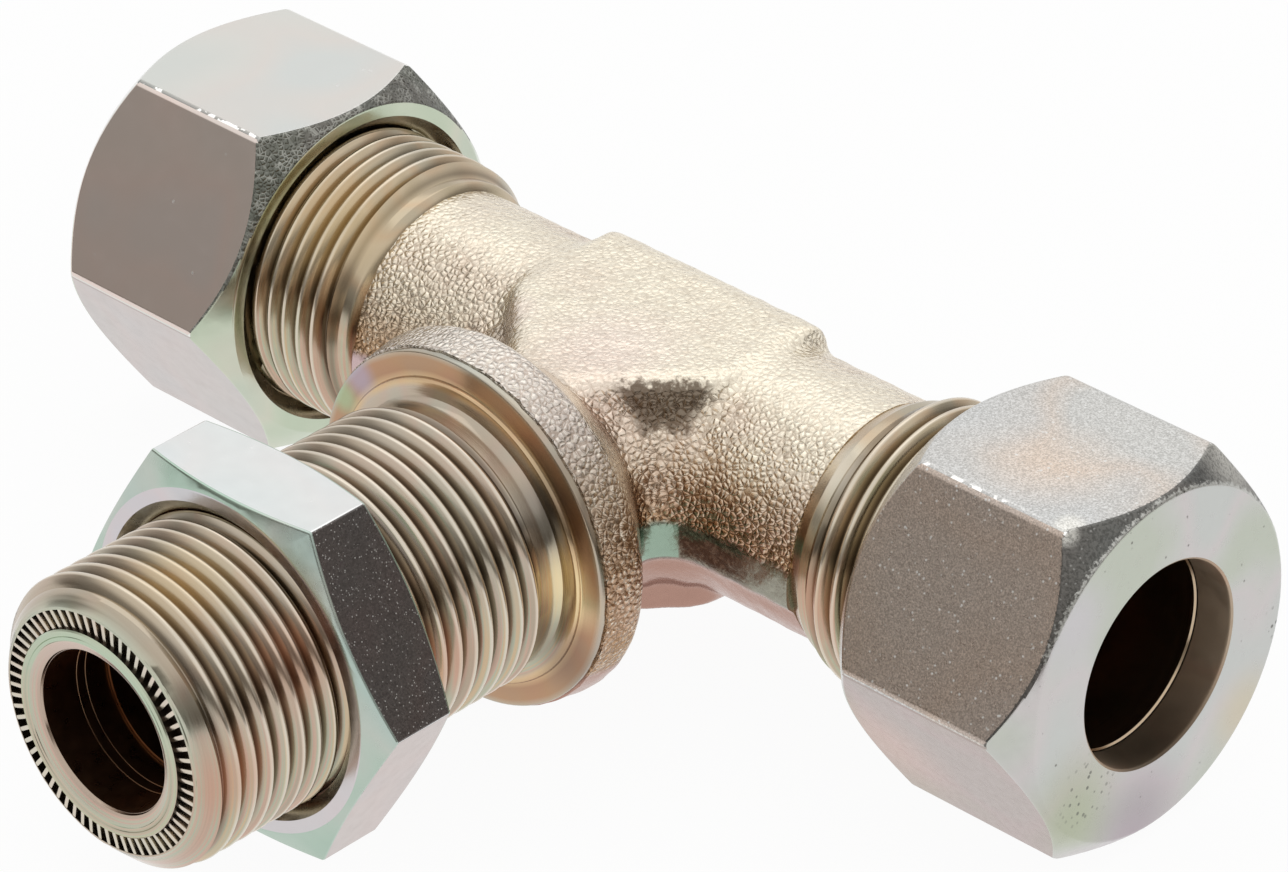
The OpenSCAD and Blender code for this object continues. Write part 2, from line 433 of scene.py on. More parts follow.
class Paint(Nodes):
    """One material's node tree, with the place on the tee in millimetres as x, y and z."""

    def __init__(self, name: str) -> None:
        """Starts a material with its usual shader and output."""
        self.material = bpy.data.materials.new(name)
        self.material.use_nodes = True
        super().__init__(self.material.node_tree)
        self.shader = self.tree.nodes["Principled BSDF"]
        self.place = self.node("ShaderNodeTexCoord", {}, {}, "Object")
        scaled = self.node("ShaderNodeVectorMath", {"operation": "SCALE"}, {0: self.place, "Scale": 1 / MM})
        split = self.tree.nodes.new("ShaderNodeSeparateXYZ")
        self.feed(split.inputs[0], scaled)
        self.x, self.y, self.z = (Wire(self, socket) for socket in split.outputs)

    def set(self, **values: object) -> None:
        """Feeds the main shader's inputs, with underscores for spaces."""
        for name, value in values.items():
            self.feed(self.shader.inputs[name.replace("_", " ")], value)

    def round(self, axis: Axis) -> tuple[Wire, Wire]:
        """The distance from an axis of the tee and the place along it, in millimetres."""
        along, across = (self.x, self.y) if axis is Axis.RUN else (self.y, self.x)
        return self.length(across, self.z), along

    def length(self, across: Wire, up: Wire) -> Wire:
        """The length of a line from its two parts."""
        flat = self.node("ShaderNodeCombineXYZ", {}, {0: across, 1: up})
        return self.node("ShaderNodeVectorMath", {"operation": "LENGTH"}, {0: flat}, "Value")

    def near(self, point: Place, inner: float, outer: float) -> Wire:
        """A soft spot that is 1 within inner and 0 beyond outer millimetres of a point."""
        values = {0: self.place, 1: tuple(v * MM for v in point)}
        away = self.node("ShaderNodeVectorMath", {"operation": "DISTANCE"}, values, "Value")
        return away.fall(inner * MM, outer * MM)

    def spotted(self, colour: object, spots: Spots, share: float) -> object:
        """Lays soft coloured spots over a colour, each with its own reach in millimetres."""
        for point, reach, tint in spots:
            colour = self.blend(self.near(point, 0.4, reach) * share, colour, tint)
        return colour

    def beside(self, across: float, up: float) -> Wire:
        """The distance in millimetres from a line that runs along X at this Y and Z."""
        return self.length(self.y - across, self.z - up)

    def noise(self, size: float, detail: float = 2.0, rough: float = 0.5) -> Wire:
        """Noise whose features are about size millimetres across."""
        return self.node("ShaderNodeTexNoise", {}, {
            "Vector": self.place, "Scale": 1 / (size * MM), "Detail": detail, "Roughness": rough,
        })

    def wander(self, width: float, size: float, detail: float = 2.0, rough: float = 0.5) -> Wire:
        """Noise that strays round nought over a width."""
        return (self.noise(size, detail, rough) - 0.5) * width

    def marks(self, axis: Axis, size: float) -> Wire:
        """A lathe's fine rings round an axis, size millimetres apart."""
        radius, along = self.round(axis)
        place = self.node("ShaderNodeCombineXYZ", {}, {0: radius, 1: along})
        return self.node("ShaderNodeTexNoise", {}, {"Vector": place, "Scale": 1 / size, "Detail": 2.0})

    def cells(self, size: float, kind: str = "F1", soft: float = 0.5) -> Wire:
        """The distance from the middle of cells that are size millimetres apart."""
        values: dict = {"Vector": self.place, "Scale": 1 / (size * MM)}
        if kind == "SMOOTH_F1":
            values["Smoothness"] = soft
        return self.node("ShaderNodeTexVoronoi", {"feature": kind}, values)

    def bump(self, height: Wire, depth: float, under: Optional[Wire] = None) -> Wire:
        """Raises a surface by height times depth millimetres."""
        values: dict = {"Height": height, "Distance": depth * MM, "Strength": 1.0}
        if under:
            values["Normal"] = under
        return self.node("ShaderNodeBump", {}, values)


@dataclass(frozen=True)
class Finish:
    """A steel surface with one main colour and a gloss."""

    name: str
    tint: Colour
    roughness: float = 0.25

    def material(self) -> bpy.types.Material:
        """Builds the material once and keeps it for later pieces."""
        known = bpy.data.materials.get(self.name)
        if known:
            return known
        job = Paint(self.name)
        job.shader.inputs["Metallic"].default_value = 1.0
        self.mix(job)
        return job.material

    def mix(self, job: Paint) -> None:
        """Builds the surface's nodes."""
        raise NotImplementedError


@dataclass(frozen=True)
class Plated(Finish):
    """Zinc-plated steel with soft flushes of colour, a grain and scattered specks."""

    flush: Stops = ((0.0, (0.6, 0.6, 0.6)), (1.0, (0.6, 0.6, 0.6)))
    flush_size: float = 9.0
    flush_share: float = 0.6
    grain: float = 0.25
    grain_depth: float = 0.002
    mottle: float = 0.0
    specks: float = 0.0
    speck_size: float = 0.5
    speck_tint: Colour = (0.8, 0.8, 0.78)
    speck_cover: float = 0.5
    dents: float = 0.0
    spots: Spots = ()
    verge: float = 0.0
    verge_in: float = 0.25
    verge_and_highlight_tint: Colour = (0.12, 0.115, 0.105)
    verge_share: float = 0.9
    face_r: float = 0.0
    face_tint: Colour = (0.56, 0.56, 0.53)
    ridge: Point = (-7.79, 13.5)
    ridge_shade: float = 0.0
    ridge_glint_tint: Colour = (0.97, 0.96, 0.93)
    pits: Places = ()
    pit_tint: Colour = (0.10, 0.10, 0.09)

    def mix(self, job: Paint) -> None:
        """Lays the flush, the mottle, the pits, the ragged verges, the ridge's painted shade and glints, the
        dents and the specks over the tint.
        """
        flush = job.ramp(job.noise(self.flush_size, 1.0, 0.4), self.flush)
        fine = job.noise(self.grain, 3, 0.65)
        colour = job.spotted(job.blend(self.flush_share, self.tint, flush), self.spots, 0.6)
        if self.mottle:
            dark = tuple(v * 0.35 for v in self.tint)
            light = tuple(min(v * 1.5, 0.9) for v in self.tint)
            colour = job.blend(fine.fall(0.38, 0.58) * self.mottle, colour, dark)
            colour = job.blend(fine.step(0.54, 0.7) * self.mottle, colour, light)
        for point, reach in self.pits:
            pit = job.cells(0.62).fall(0.16, 0.3) * job.near(point, reach * 0.3, reach)
            colour = job.blend(pit * 0.75, colour, self.pit_tint)
        if self.verge or self.face_r:
            colour = self.ragged(job, colour)
        # Painted shade along the top ridge, with painted glints in patches on it.
        if self.ridge_shade:
            colour = self.ridge_shade_and_glints(job, colour)
        normal = job.bump(fine, self.grain_depth)
        if self.dents:
            rim = job.cells(self.dents, "DISTANCE_TO_EDGE")
            seam = rim.fall(0.02, 0.2) * job.noise(self.dents * 3, 1).step(0.4, 0.6)
            colour = job.blend(seam * 0.4, colour, self.speck_tint)
            normal = job.bump(rim.step(0.0, 0.35), 0.05, normal)
        rough = self.roughness + job.wander(0.2, self.grain * 4)
        if self.specks:
            dot = job.cells(self.speck_size).fall(0.1, 0.26)
            bare = 1 - self.speck_cover
            dot = dot * job.noise(self.speck_size * 1.7, 1).step(bare, bare + 0.08)
            colour = job.blend(dot * self.specks, colour, self.speck_tint)
            rough = rough + dot * 0.15
        job.set(Base_Color=colour, Roughness=rough, Normal=normal)

    def ragged(self, job: Paint, colour: Wire) -> Wire:
        """Lays the ragged boundary between the flats and the turned-off corners over a colour, in the verge's
        tint, which is a dark border on the blasted nut and a painted highlight on the smooth nut.
        """
        radius, along = job.round(Axis.RUN)
        wander = job.wander(1.1, 0.3, 3, 0.7)
        if self.verge:
            start = self.verge - self.verge_in
            share = (radius + along + wander).step(start, start + 0.2) * self.verge_share
            colour = job.blend(share, colour, self.verge_and_highlight_tint)
        if self.face_r:
            share = (radius + wander).fall(self.face_r + 0.05, self.face_r + 0.3)
            colour = job.blend(share, colour, self.face_tint)
        return colour

    def ridge_shade_and_glints(self, job: Paint, colour: Wire) -> Wire:
        """Paints shade along the ridge in front of the top flat, broken by bright patches that are painted
        glints on its worn edge.
        """
        line = job.beside(*self.ridge).fall(0.22, 0.42)
        patch = job.noise(0.9, 2).step(0.55, 0.6)
        colour = job.blend(line * (1 - patch) * self.ridge_shade, colour, tuple(v * 0.25 for v in self.tint))
        return job.blend(line * patch, colour, self.ridge_glint_tint)


@dataclass(frozen=True)
class Turned(Finish):
    """Bright steel from the lathe, with rings of tool marks and bands of temper colour."""

    axis: Axis = Axis.RUN
    bands: Stops = ()
    band_from: float = 5.5
    band_to: float = 14.5
    flush: Stops = ()
    flush_share: float = 0.5
    marks_depth: float = 0.0016
    tinge: Stops = ()
    spots: Spots = ()
    thread_from: float = 0.0
    thread_to: float = 0.0
    groove_to: Point = (10.15, 10.75)
    crest_from: Point = (10.9, 10.99)
    outside_r: float = 11.05
    # Painted shade for the thread's grooves and painted highlight for its crests.
    groove_shade_tint: Colour = (0.15, 0.115, 0.08)
    crest_highlight_tint: Colour = (0.84, 0.77, 0.66)

    def mix(self, job: Paint) -> None:
        """Lays bands by the distance from the axis, then flushes, coloured rings low down and tool marks."""
        colour: object = self.tint
        radius, along = job.round(self.axis)
        if self.bands:
            wave = radius + job.wander(0.5, 6.0, 1)
            width = self.band_to - self.band_from
            stops = [((at - self.band_from) / width, tint) for at, tint in self.bands]
            colour = job.ramp(wave.share(self.band_from, self.band_to), stops)
        if self.flush:
            colour = job.blend(self.flush_share, colour, job.ramp(job.noise(5.0, 1.0, 0.4), self.flush))
        if self.tinge:
            low = (job.z + job.wander(3.0, 3.0, 1)).fall(-2.0, 6.0)
            low = low * radius.fall(self.outside_r, self.outside_r + 0.25)
            colour = job.blend(low * 0.6, colour, job.ramp(job.marks(self.axis, 0.5), self.tinge))
        # Painted shade in the thread's grooves and painted highlights on its crests.
        if self.thread_to:
            colour = self.threads(job, colour, radius, abs(along))
        colour = job.spotted(colour, self.spots, 0.5)
        marks = job.marks(self.axis, 0.11)
        rough = self.roughness + (marks - 0.5) * 0.25
        job.set(Base_Color=colour, Roughness=rough, Normal=job.bump(marks, self.marks_depth))

    def threads(self, job: Paint, colour: object, radius: Wire, away: Wire) -> Wire:
        """Paints shade into the thread's grooves and highlights onto its crests.

        Args:
            job: The material that is built.
            colour: The colour so far.
            radius: The distance from the thread's axis.
            away: The distance from the tee's middle along that axis.

        Returns:
            The new colour.
        """
        inside = radius.fall(self.outside_r, self.outside_r + 0.05)
        cut = away.step(self.thread_from, self.thread_from + 0.5)
        cut = cut * away.fall(self.thread_to, self.thread_to + 0.4) * inside
        colour = job.blend(cut * radius.fall(*self.groove_to) * 0.75, colour, self.groove_shade_tint)
        return job.blend(cut * radius.step(*self.crest_from) * 0.5, colour, self.crest_highlight_tint)


@dataclass(frozen=True)
class Forged(Finish):
    """The blasted skin of a forging, browner low down, with a trimmed and a smooth zone below it."""

    low_tint: Colour = (0.50, 0.31, 0.17)
    # pit_tint darkens the cracks between the pebbles, partly as painted crevice shade, and the random mottle.
    pit_tint: Colour = (0.20, 0.115, 0.06)
    glint_tint: Colour = (0.86, 0.80, 0.68)
    trim_tint: Colour = (0.13, 0.10, 0.075)
    under_tint: Colour = (0.42, 0.25, 0.20)
    fresh_tint: Colour = (0.31, 0.41, 0.325)
    top_tint: Colour = (0.88, 0.81, 0.67)
    blush_tint: Colour = (0.66, 0.47, 0.40)
    pale_and_lit_tint: Colour = (0.92, 0.76, 0.70)
    pale_and_lit_patches: Places = (((1.4, -6.5, 9.6), 7.5), ((-7.6, -7.8, 8.6), 3.4))
    rim_tints: Stops = (
        (0.0, (0.38, 0.22, 0.115)), (0.5, (0.46, 0.36, 0.28)), (0.72, (0.56, 0.50, 0.465)),
        (0.95, (0.86, 0.81, 0.75)),
    )
    streak_tint: Colour = (0.30, 0.27, 0.21)
    shear_tint: Colour = (0.40, 0.40, 0.33)
    web_tint: Colour = (0.58, 0.43, 0.43)
    pocket_shade_tint: Colour = (0.085, 0.05, 0.028)
    peel: float = 0.48
    peel_depth: float = 0.09
    blush_at: Place = (2.0, -13.0, 9.0)
    web_at: Place = (-21.4, -9.2, -0.6)
    rim_to: Point = (-17.0, -16.2)
    rim_drop: float = 8.0
    rough_from: Point = (0.1, 0.9)
    under_to: Point = (-3.0, -2.2)
    low_to: Point = (0.5, 7.5)
    top_from: Point = (8.2, 9.4)
    trim_from: Point = (-16.5, -14.5)
    shear_from: Point = (15.5, 19.0)

    def mix(self, job: Paint) -> None:
        """Lays the orange peel above the parting line, and the trimmed band and underside below."""
        y, z = job.y, job.z
        rim = y.fall(*self.rim_to)
        wander = job.wander(1.2, 2.2)
        level = z + wander + rim * self.rim_drop
        rough_zone = level.step(*self.rough_from)
        low = (z + wander * 2).fall(*self.low_to)
        high = z.step(*self.top_from) * (1 - rim)
        dome = 1 - job.cells(self.peel, "SMOOTH_F1", 0.35) * 1.6
        edge = job.cells(self.peel, "DISTANCE_TO_EDGE")
        lumps = dome * 0.7 + edge.step(0.0, 0.3) * 0.45 + job.noise(0.3, 2, 0.6) * 0.35
        crack_and_shade = edge.fall(0.015, 0.13)
        fine = job.noise(0.12, 2, 0.6)
        grain = job.noise(0.35, 3, 0.7)
        colour = self.ground(job, low, high, rim)
        # Dark cracks between the pebbles, partly painted crevice shade, stronger low down and weaker on the
        # top.
        share = crack_and_shade * (low * 0.25 + 0.42 + rim * 0.02) * (1 - high * 0.75)
        colour = job.blend(share, colour, self.pit_tint)
        colour = job.blend(grain.fall(0.36, 0.56) * (0.28 - high * 0.06), colour, self.pit_tint)
        # Painted glints: pale specks in the grain and highlights on the domes' tops, more of them low down.
        colour = job.blend(grain.step(0.52, 0.68) * (rim * 0.2 + 0.35), colour, self.glint_tint)
        colour = job.blend(dome.step(0.6, 0.9) * (low * 0.6 + 0.2), colour, self.glint_tint)
        # Painted shade in the hollow under the block in each crotch, with a ragged top.
        ragged = z + job.wander(1.8, 0.6, 3, 0.6)
        colour = job.blend(self.pocket_shade(job.x, y, ragged) * 0.84, colour, self.pocket_shade_tint)
        # More painted highlights on the domes' tops low down.
        colour = job.blend(dome.step(0.72, 0.95) * low * 0.4, colour, self.glint_tint)
        colour = self.below(job, colour, level, 1 - rough_zone, grain)
        depth = (rough_zone * 0.9 + 0.1) * (1 - high * 0.55)
        normal = job.bump(fine, 0.006, job.bump(lumps * depth, self.peel_depth))
        rough = self.roughness + (fine - 0.5) * 0.3 + dome * -0.06
        job.set(Base_Color=colour, Roughness=rough, Normal=normal)

    def ground(self, job: Paint, low: Wire, high: Wire, rim: Wire) -> Wire:
        """The forging's ground colour, before its cracks with their painted shade and its painted glints; one
        of its pale patches, in the left crotch, is painted light.

        Args:
            job: The material that is built.
            low: How far down a place lies.
            high: How far up on the block it lies.
            rim: Whether it lies on the flange's rim.

        Returns:
            The colour.
        """
        colour = job.blend(low, self.tint, self.low_tint)
        colour = job.blend(job.noise(7.0, 1).step(0.4, 0.7) * 0.35, colour, self.blush_tint)
        colour = job.blend(job.near(self.blush_at, 3.0, 9.0) * 0.6, colour, self.blush_tint)
        colour = job.blend(high * 0.6, colour, self.top_tint)
        # Pale patches: one lightens the block's front, and the one in the left crotch is painted light over
        # the shade of the groove at the block's corner.
        for point, reach in self.pale_and_lit_patches:
            colour = job.blend(job.near(point, 0.8, reach) * 0.45, colour, self.pale_and_lit_tint)
        rim_colour = job.ramp(job.z.share(0.0, 15.0), self.rim_tints)
        return job.blend(rim * job.z.step(-1.0, 3.0) * 0.85, colour, rim_colour)

    def below(self, job: Paint, colour: Wire, level: Wire, clean: Wire, grain: Wire) -> Wire:
        """Lays the trimmed band, the sheared flat, the web and the smooth underside over the colour.

        Args:
            job: The material that is built.
            colour: The colour of the rough skin.
            level: The height over the parting line, with its wander.
            clean: Whether a place lies below the rough skin.
            grain: The noise of the streaks.

        Returns:
            The whole forging's colour.
        """
        x, y, z = job.x, job.y, job.z
        under = level.fall(*self.under_to)
        colour = job.blend(clean, colour, self.under_tint)
        streak = job.blend(grain.step(0.45, 0.65) * 0.7, self.trim_tint, self.streak_tint)
        streak = job.blend(x.step(*self.shear_from) * 0.6, streak, self.shear_tint)
        colour = job.blend(clean * (1 - under) * y.step(*self.trim_from), colour, streak)
        colour = job.blend(self.facet(x, y, z) * clean * (1 - under), colour, self.fresh_tint)
        return job.blend(job.near(self.web_at, 1.4, 2.4) * clean, colour, self.web_tint)

    @staticmethod
    def facet(x: Wire, y: Wire, z: Wire) -> Wire:
        """The fresh flat where the shears left the flash line in the right crotch."""
        side = (x + y) * math.sqrt(0.5)
        away = (x - y) * math.sqrt(0.5)
        across = side.fall(0.75, 0.95) * side.step(-3.2, -2.6)
        return across * z.step(-2.5, -2.3) * away.step(12.0, 12.5)

    @staticmethod
    def pocket_shade(x: Wire, y: Wire, z: Wire) -> Wire:
        """The painted shade of the hollow under the block in each crotch, wide at its top and narrow at its
        foot.
        """
        side = abs((abs(x) + y) * math.sqrt(0.5))
        away = (abs(x) - y) * math.sqrt(0.5)
        half = (z - 6.3) * 0.6 + 1.8
        inside = (side - half).fall(-0.7, 0.5) * (x.step(-3.0, 3.0) * 0.6 + 0.4)
        upright = z.step(5.9, 6.7) * z.fall(9.0, 9.5)
        return inside * upright * away.step(9.4, 9.9) * away.fall(12.3, 12.9)


COOL_FLUSH: Stops = (
    (0.32, (0.56, 0.62, 0.62)), (0.45, (0.68, 0.66, 0.64)), (0.55, (0.74, 0.62, 0.60)),
    (0.66, (0.58, 0.64, 0.68)),
)
PATCH_FLUSH: Stops = (
    (0.34, (0.54, 0.58, 0.62)), (0.46, (0.60, 0.58, 0.57)), (0.54, (0.68, 0.50, 0.38)),
    (0.64, (0.58, 0.60, 0.60)),
)
MINT_FLUSH: Stops = (
    (0.36, (0.42, 0.53, 0.45)), (0.48, (0.49, 0.57, 0.50)), (0.56, (0.56, 0.57, 0.53)),
    (0.66, (0.47, 0.55, 0.52)),
)
WARM_FLUSH: Stops = (
    (0.34, (0.52, 0.52, 0.46)), (0.45, (0.62, 0.50, 0.38)), (0.54, (0.66, 0.44, 0.38)),
    (0.64, (0.48, 0.56, 0.50)),
)
BRONZE_FLUSH: Stops = (
    (0.34, (0.40, 0.34, 0.22)), (0.46, (0.60, 0.50, 0.36)), (0.54, (0.58, 0.40, 0.26)),
    (0.64, (0.44, 0.42, 0.34)),
)
FACE_FLUSH: Stops = (
    (0.36, (0.48, 0.53, 0.42)), (0.46, (0.56, 0.57, 0.53)), (0.54, (0.63, 0.57, 0.58)),
    (0.64, (0.56, 0.58, 0.57)),
)
THREAD_TINGE: Stops = (
    (0.36, (0.40, 0.32, 0.24)), (0.45, (0.60, 0.36, 0.28)), (0.54, (0.40, 0.48, 0.36)),
    (0.64, (0.62, 0.45, 0.26)),
)
BRANCH_BANDS: Stops = (
    (5.9, (0.52, 0.40, 0.34)), (6.85, (0.58, 0.46, 0.40)), (7.0, (0.42, 0.56, 0.42)),
    (7.8, (0.46, 0.54, 0.41)), (9.3, (0.48, 0.50, 0.40)), (10.0, (0.42, 0.36, 0.28)),
    (11.1, (0.50, 0.42, 0.33)), (11.5, (0.64, 0.46, 0.26)), (11.9, (0.52, 0.34, 0.18)),
    (12.3, (0.38, 0.21, 0.11)), (13.2, (0.41, 0.23, 0.12)), (13.55, (0.46, 0.36, 0.26)),
    (13.8, (0.40, 0.42, 0.38)),
)
COPPER = (0.56, 0.30, 0.20)
GOLD = (0.62, 0.46, 0.25)
DEEP_BROWN = (0.05, 0.035, 0.02)
BLUE_BLACK = (0.12, 0.13, 0.13)
STRAW = (0.98, 0.78, 0.45)
# Near white for worn bare spots at a nut's corner, painted as bright glints.
BARE_AND_GLINT = (0.97, 0.95, 0.88)

FORGED = Forged("forged_steel", (0.91, 0.83, 0.675), 0.27)
RUN_TURNED = Turned(
    "run_turned_steel", (0.47, 0.39, 0.28), 0.2, Axis.RUN, flush=BRONZE_FLUSH, flush_share=0.4,
    tinge=THREAD_TINGE, thread_from=23.2, thread_to=35.4,
    spots=(((-27.0, -6.0, 9.0), 8.0, GOLD), ((24.0, -10.5, 0.0), 4.5, COPPER),
           ((22.1, -5.9, 7.9), 3.5, (0.90, 0.84, 0.72))),
)
BRANCH_TURNED = Turned(
    "branch_turned_steel", (0.50, 0.43, 0.34), 0.19, Axis.BRANCH, bands=BRANCH_BANDS, flush=WARM_FLUSH,
    flush_share=0.15, tinge=THREAD_TINGE, thread_from=22.8, thread_to=53.2, groove_shade_tint=(0.12, 0.085, 0.06),
    spots=(((-10.0, -20.5, 8.6), 2.3, (0.40, 0.38, 0.56)), ((-11.6, -20.5, 6.2), 1.9, (0.34, 0.58, 0.34)),
           ((10.5, -52.5, 0.0), 4.5, COPPER), ((9.6, -45.4, 5.4), 5.0, COPPER),
           ((10.9, -33.6, -0.5), 5.0, COPPER), ((2.0, -49.0, 10.8), 7.0, GOLD),
           ((10.4, -20.6, -6.0), 4.5, (0.16, 0.10, 0.08)), ((8.7, -21.3, 5.6), 3.6, BLUE_BLACK),
           ((9.7, -20.5, 8.4), 3.2, (0.19, 0.14, 0.09)), ((11.4, -20.9, -0.7), 3.2, STRAW),
           ((10.8, -21.0, 1.2), 2.8, STRAW)),
)
RING = Turned("ring_steel", (0.52, 0.40, 0.28), 0.22, Axis.RUN)
TOOTH = Plated("tooth_steel", (0.66, 0.62, 0.52), 0.25, flush=WARM_FLUSH, flush_share=0.25)
# Near black, as painted shade, for the floor and walls of the serrations' groove.
NOTCH_SHADE = Plated("notch_shade_steel", (0.05, 0.04, 0.03), 0.4, flush=WARM_FLUSH, flush_share=0.03)
MOUTH = Plated("mouth_steel", (0.42, 0.36, 0.26), 0.24, flush=MINT_FLUSH, flush_size=5, flush_share=0.2)
# Dark brown, as painted shade, for the bores and the nuts' deep hollows; paler brown towards the branch's
# open end.
BORE_SHADE = Plated(
    "bore_shade_steel", (0.17, 0.085, 0.05), 0.3, flush=WARM_FLUSH, flush_share=0.08,
    spots=(((0.0, -50.0, 0.0), 14.0, (0.62, 0.36, 0.18)),),
)
TUBE_HOLE = Plated(
    "tube_hole_steel", (0.58, 0.44, 0.32), 0.6, flush=WARM_FLUSH, flush_size=5, flush_share=0.15,
    spots=(((46.0, 2.5, -7.3), 8.0, DEEP_BROWN), ((46.0, -1.0, -7.7), 7.0, DEEP_BROWN)),
)
BLASTED = Plated(
    "blasted_steel", (0.70, 0.68, 0.64), 0.3, flush=PATCH_FLUSH, flush_size=11, flush_share=0.35, grain=0.14,
    grain_depth=0.016, mottle=0.45, specks=0.75, speck_size=0.6, verge=60.2, ridge_shade=0.25,
    # Two near-white spots at the top front corner are worn bare metal painted as bright glints.
    spots=(((38.5, -2.0, 13.5), 6.5, (0.84, 0.66, 0.52)), ((44.6, -7.2, 13.5), 1.6, BARE_AND_GLINT),
           ((44.2, -6.6, 13.5), 1.4, BARE_AND_GLINT)),
)
# A darker copy of the blasted finish for the flat that faces the open side: painted shade.
BLASTED_FRONT_SHADE = Plated(
    "blasted_front_shade_steel", (0.56, 0.465, 0.40), 0.3, flush=PATCH_FLUSH, flush_size=14, flush_share=0.12,
    grain=0.14, grain_depth=0.016, mottle=0.45, specks=0.85, speck_cover=0.54, verge=60.2,
)
# A darker copy of the blasted finish for the flats that face down: painted shade.
BLASTED_UNDER_SHADE = Plated(
    "blasted_under_shade_steel", (0.37, 0.27, 0.24), 0.26, flush=FACE_FLUSH, flush_size=9, flush_share=0.3,
    grain=0.14, grain_depth=0.004, mottle=0.06, spots=(((32.0, -11.0, -8.0), 8.0, (0.62, 0.42, 0.36)),),
)
BLASTED_CORNER = Plated(
    "blasted_corner_steel", (0.12, 0.115, 0.105), 0.32, flush=COOL_FLUSH, flush_share=0.08, grain=0.24,
    grain_depth=0.035, mottle=0.5, specks=0.55, speck_size=0.42, speck_tint=(0.5, 0.5, 0.48), face_r=13.2,
    spots=(((44.5, 9.5, 12.6), 5.5, (0.56, 0.54, 0.48)), ((45.5, 8.0, 12.2), 4.0, (0.6, 0.58, 0.53)),
           # A near-white spot at the top front corner: worn bare metal painted as a glint.
           ((44.6, -7.6, 13.2), 1.2, (0.95, 0.93, 0.86))),
)
BLASTED_FACE = Plated(
    "blasted_face_steel", (0.54, 0.54, 0.51), 0.24, flush=FACE_FLUSH, flush_size=9, flush_share=0.55,
    grain=0.2, grain_depth=0.003, specks=0.7, speck_size=0.6, speck_tint=(0.12, 0.11, 0.1), speck_cover=0.36,
    spots=(((47.0, -9.0, -7.5), 7.0, (0.38, 0.41, 0.26)), ((47.0, -2.0, -12.0), 7.0, (0.36, 0.29, 0.34)),
           ((47.0, 9.5, -8.5), 4.5, (0.60, 0.53, 0.36)), ((47.0, -9.0, 7.5), 5.0, (0.60, 0.56, 0.61))),
    pits=(((47.0, -7.4, -6.8), 3.6), ((46.6, 12.6, -2.5), 1.8)),
)
SMOOTH = Plated(
    "smooth_steel", (0.74, 0.74, 0.69), 0.17, flush=COOL_FLUSH, flush_size=14, flush_share=0.3, grain=0.3,
    # The bright verge is a painted highlight along the boundary of the inner end's chamfer.
    grain_depth=0.0015, specks=0.5, speck_size=1.1, speck_cover=0.33, verge=-17.8, verge_in=0.3,
    verge_and_highlight_tint=(0.95, 0.95, 0.92), verge_share=0.6, ridge_shade=0.75,
)
# A darker, warmer copy of the smooth finish for the flat that faces the open side: painted shade.
SMOOTH_FRONT_SHADE = Plated(
    "smooth_front_shade_steel", (0.78, 0.66, 0.60), 0.17, flush=COOL_FLUSH, flush_share=0.2, grain=0.3,
    grain_depth=0.0015, specks=0.6, speck_size=0.9, speck_cover=0.36,
)
# A darker copy of the smooth finish for the flats that face down: painted shade.
SMOOTH_UNDER_SHADE = Plated(
    "smooth_under_shade_steel", (0.46, 0.405, 0.385), 0.2, flush=COOL_FLUSH, flush_size=12, flush_share=0.2,
    grain=0.3, grain_depth=0.0015,
)
SMOOTH_CORNER = Plated(
    "smooth_corner_steel", (0.11, 0.10, 0.085), 0.26, flush=MINT_FLUSH, flush_size=6, flush_share=0.14,
    grain=0.3, grain_depth=0.02, mottle=0.3, specks=0.5, speck_tint=(0.6, 0.6, 0.55), speck_cover=0.55,
    dents=0.34,
)
SMOOTH_LOW = Plated("smooth_low_steel", (0.66, 0.66, 0.46), 0.2, flush=MINT_FLUSH, flush_size=7, grain=0.3)
LOCKING = Plated(
    "locking_steel", (0.80, 0.83, 0.82), 0.2, flush=COOL_FLUSH, flush_size=10, flush_share=0.2,
    grain_depth=0.003, specks=0.4, speck_size=0.6, speck_cover=0.4,
)
# A near-black copy of the locking finish for the flat that faces +X: painted shade, with its specks.
LOCKING_SIDE_SHADE = Plated(
    "locking_side_shade_steel", (0.135, 0.115, 0.11), 0.26, flush=COOL_FLUSH, flush_size=6, flush_share=0.08,
    grain=0.15, grain_depth=0.012, mottle=0.4, specks=0.75, speck_size=0.27, speck_cover=0.6,
)
# A darker copy of the locking finish for the flats that face down: painted shade.
LOCKING_UNDER_SHADE = Plated(
    "locking_under_shade_steel", (0.48, 0.395, 0.37), 0.2, flush=COOL_FLUSH, flush_size=10, flush_share=0.15,
)
LOCKING_CORNER = Plated(
    "locking_corner_steel", (0.37, 0.50, 0.41), 0.24, flush=MINT_FLUSH, flush_size=8, flush_share=0.7,
    grain=0.3,
)
LOCKING_END = Plated(
    "locking_end_steel", (0.58, 0.54, 0.56), 0.2, flush=COOL_FLUSH, flush_size=8, flush_share=0.3, grain=0.3,
)
TEE_FINISHES = (FORGED, RUN_TURNED, BRANCH_TURNED, BORE_SHADE, TOOTH, NOTCH_SHADE)


def paint(piece: Piece, finish: Finish, among: Sequence[Finish] = ()) -> Piece:
    """Gives a whole piece one finish.

    Args:
        piece: The object that is painted.
        finish: The finish of all its faces.
        among: All the finishes that the piece will have slots for, in order.

    Returns:
        The same object.
    """
    finishes = among or (finish,)
    piece.data.materials.clear()
    for each in finishes:
        piece.data.materials.append(each.material())
    for face in piece.data.polygons:
        face.material_index = finishes.index(finish)
    return piece


def repaint(piece: Piece, finish: Finish, among: Sequence[Finish], wanted: Callable[[object], bool]) -> Piece:
    """Gives the faces that pass a test another of the piece's finishes.

    Args:
        piece: The object that is painted.
        finish: The new finish of those faces.
        among: The finishes of the piece's slots, in order.
        wanted: Says of a face whether it is painted.

    Returns:
        The same object.
    """
    number = among.index(finish)
    for face in piece.data.polygons:
        if wanted(face):
            face.material_index = number
    return piece


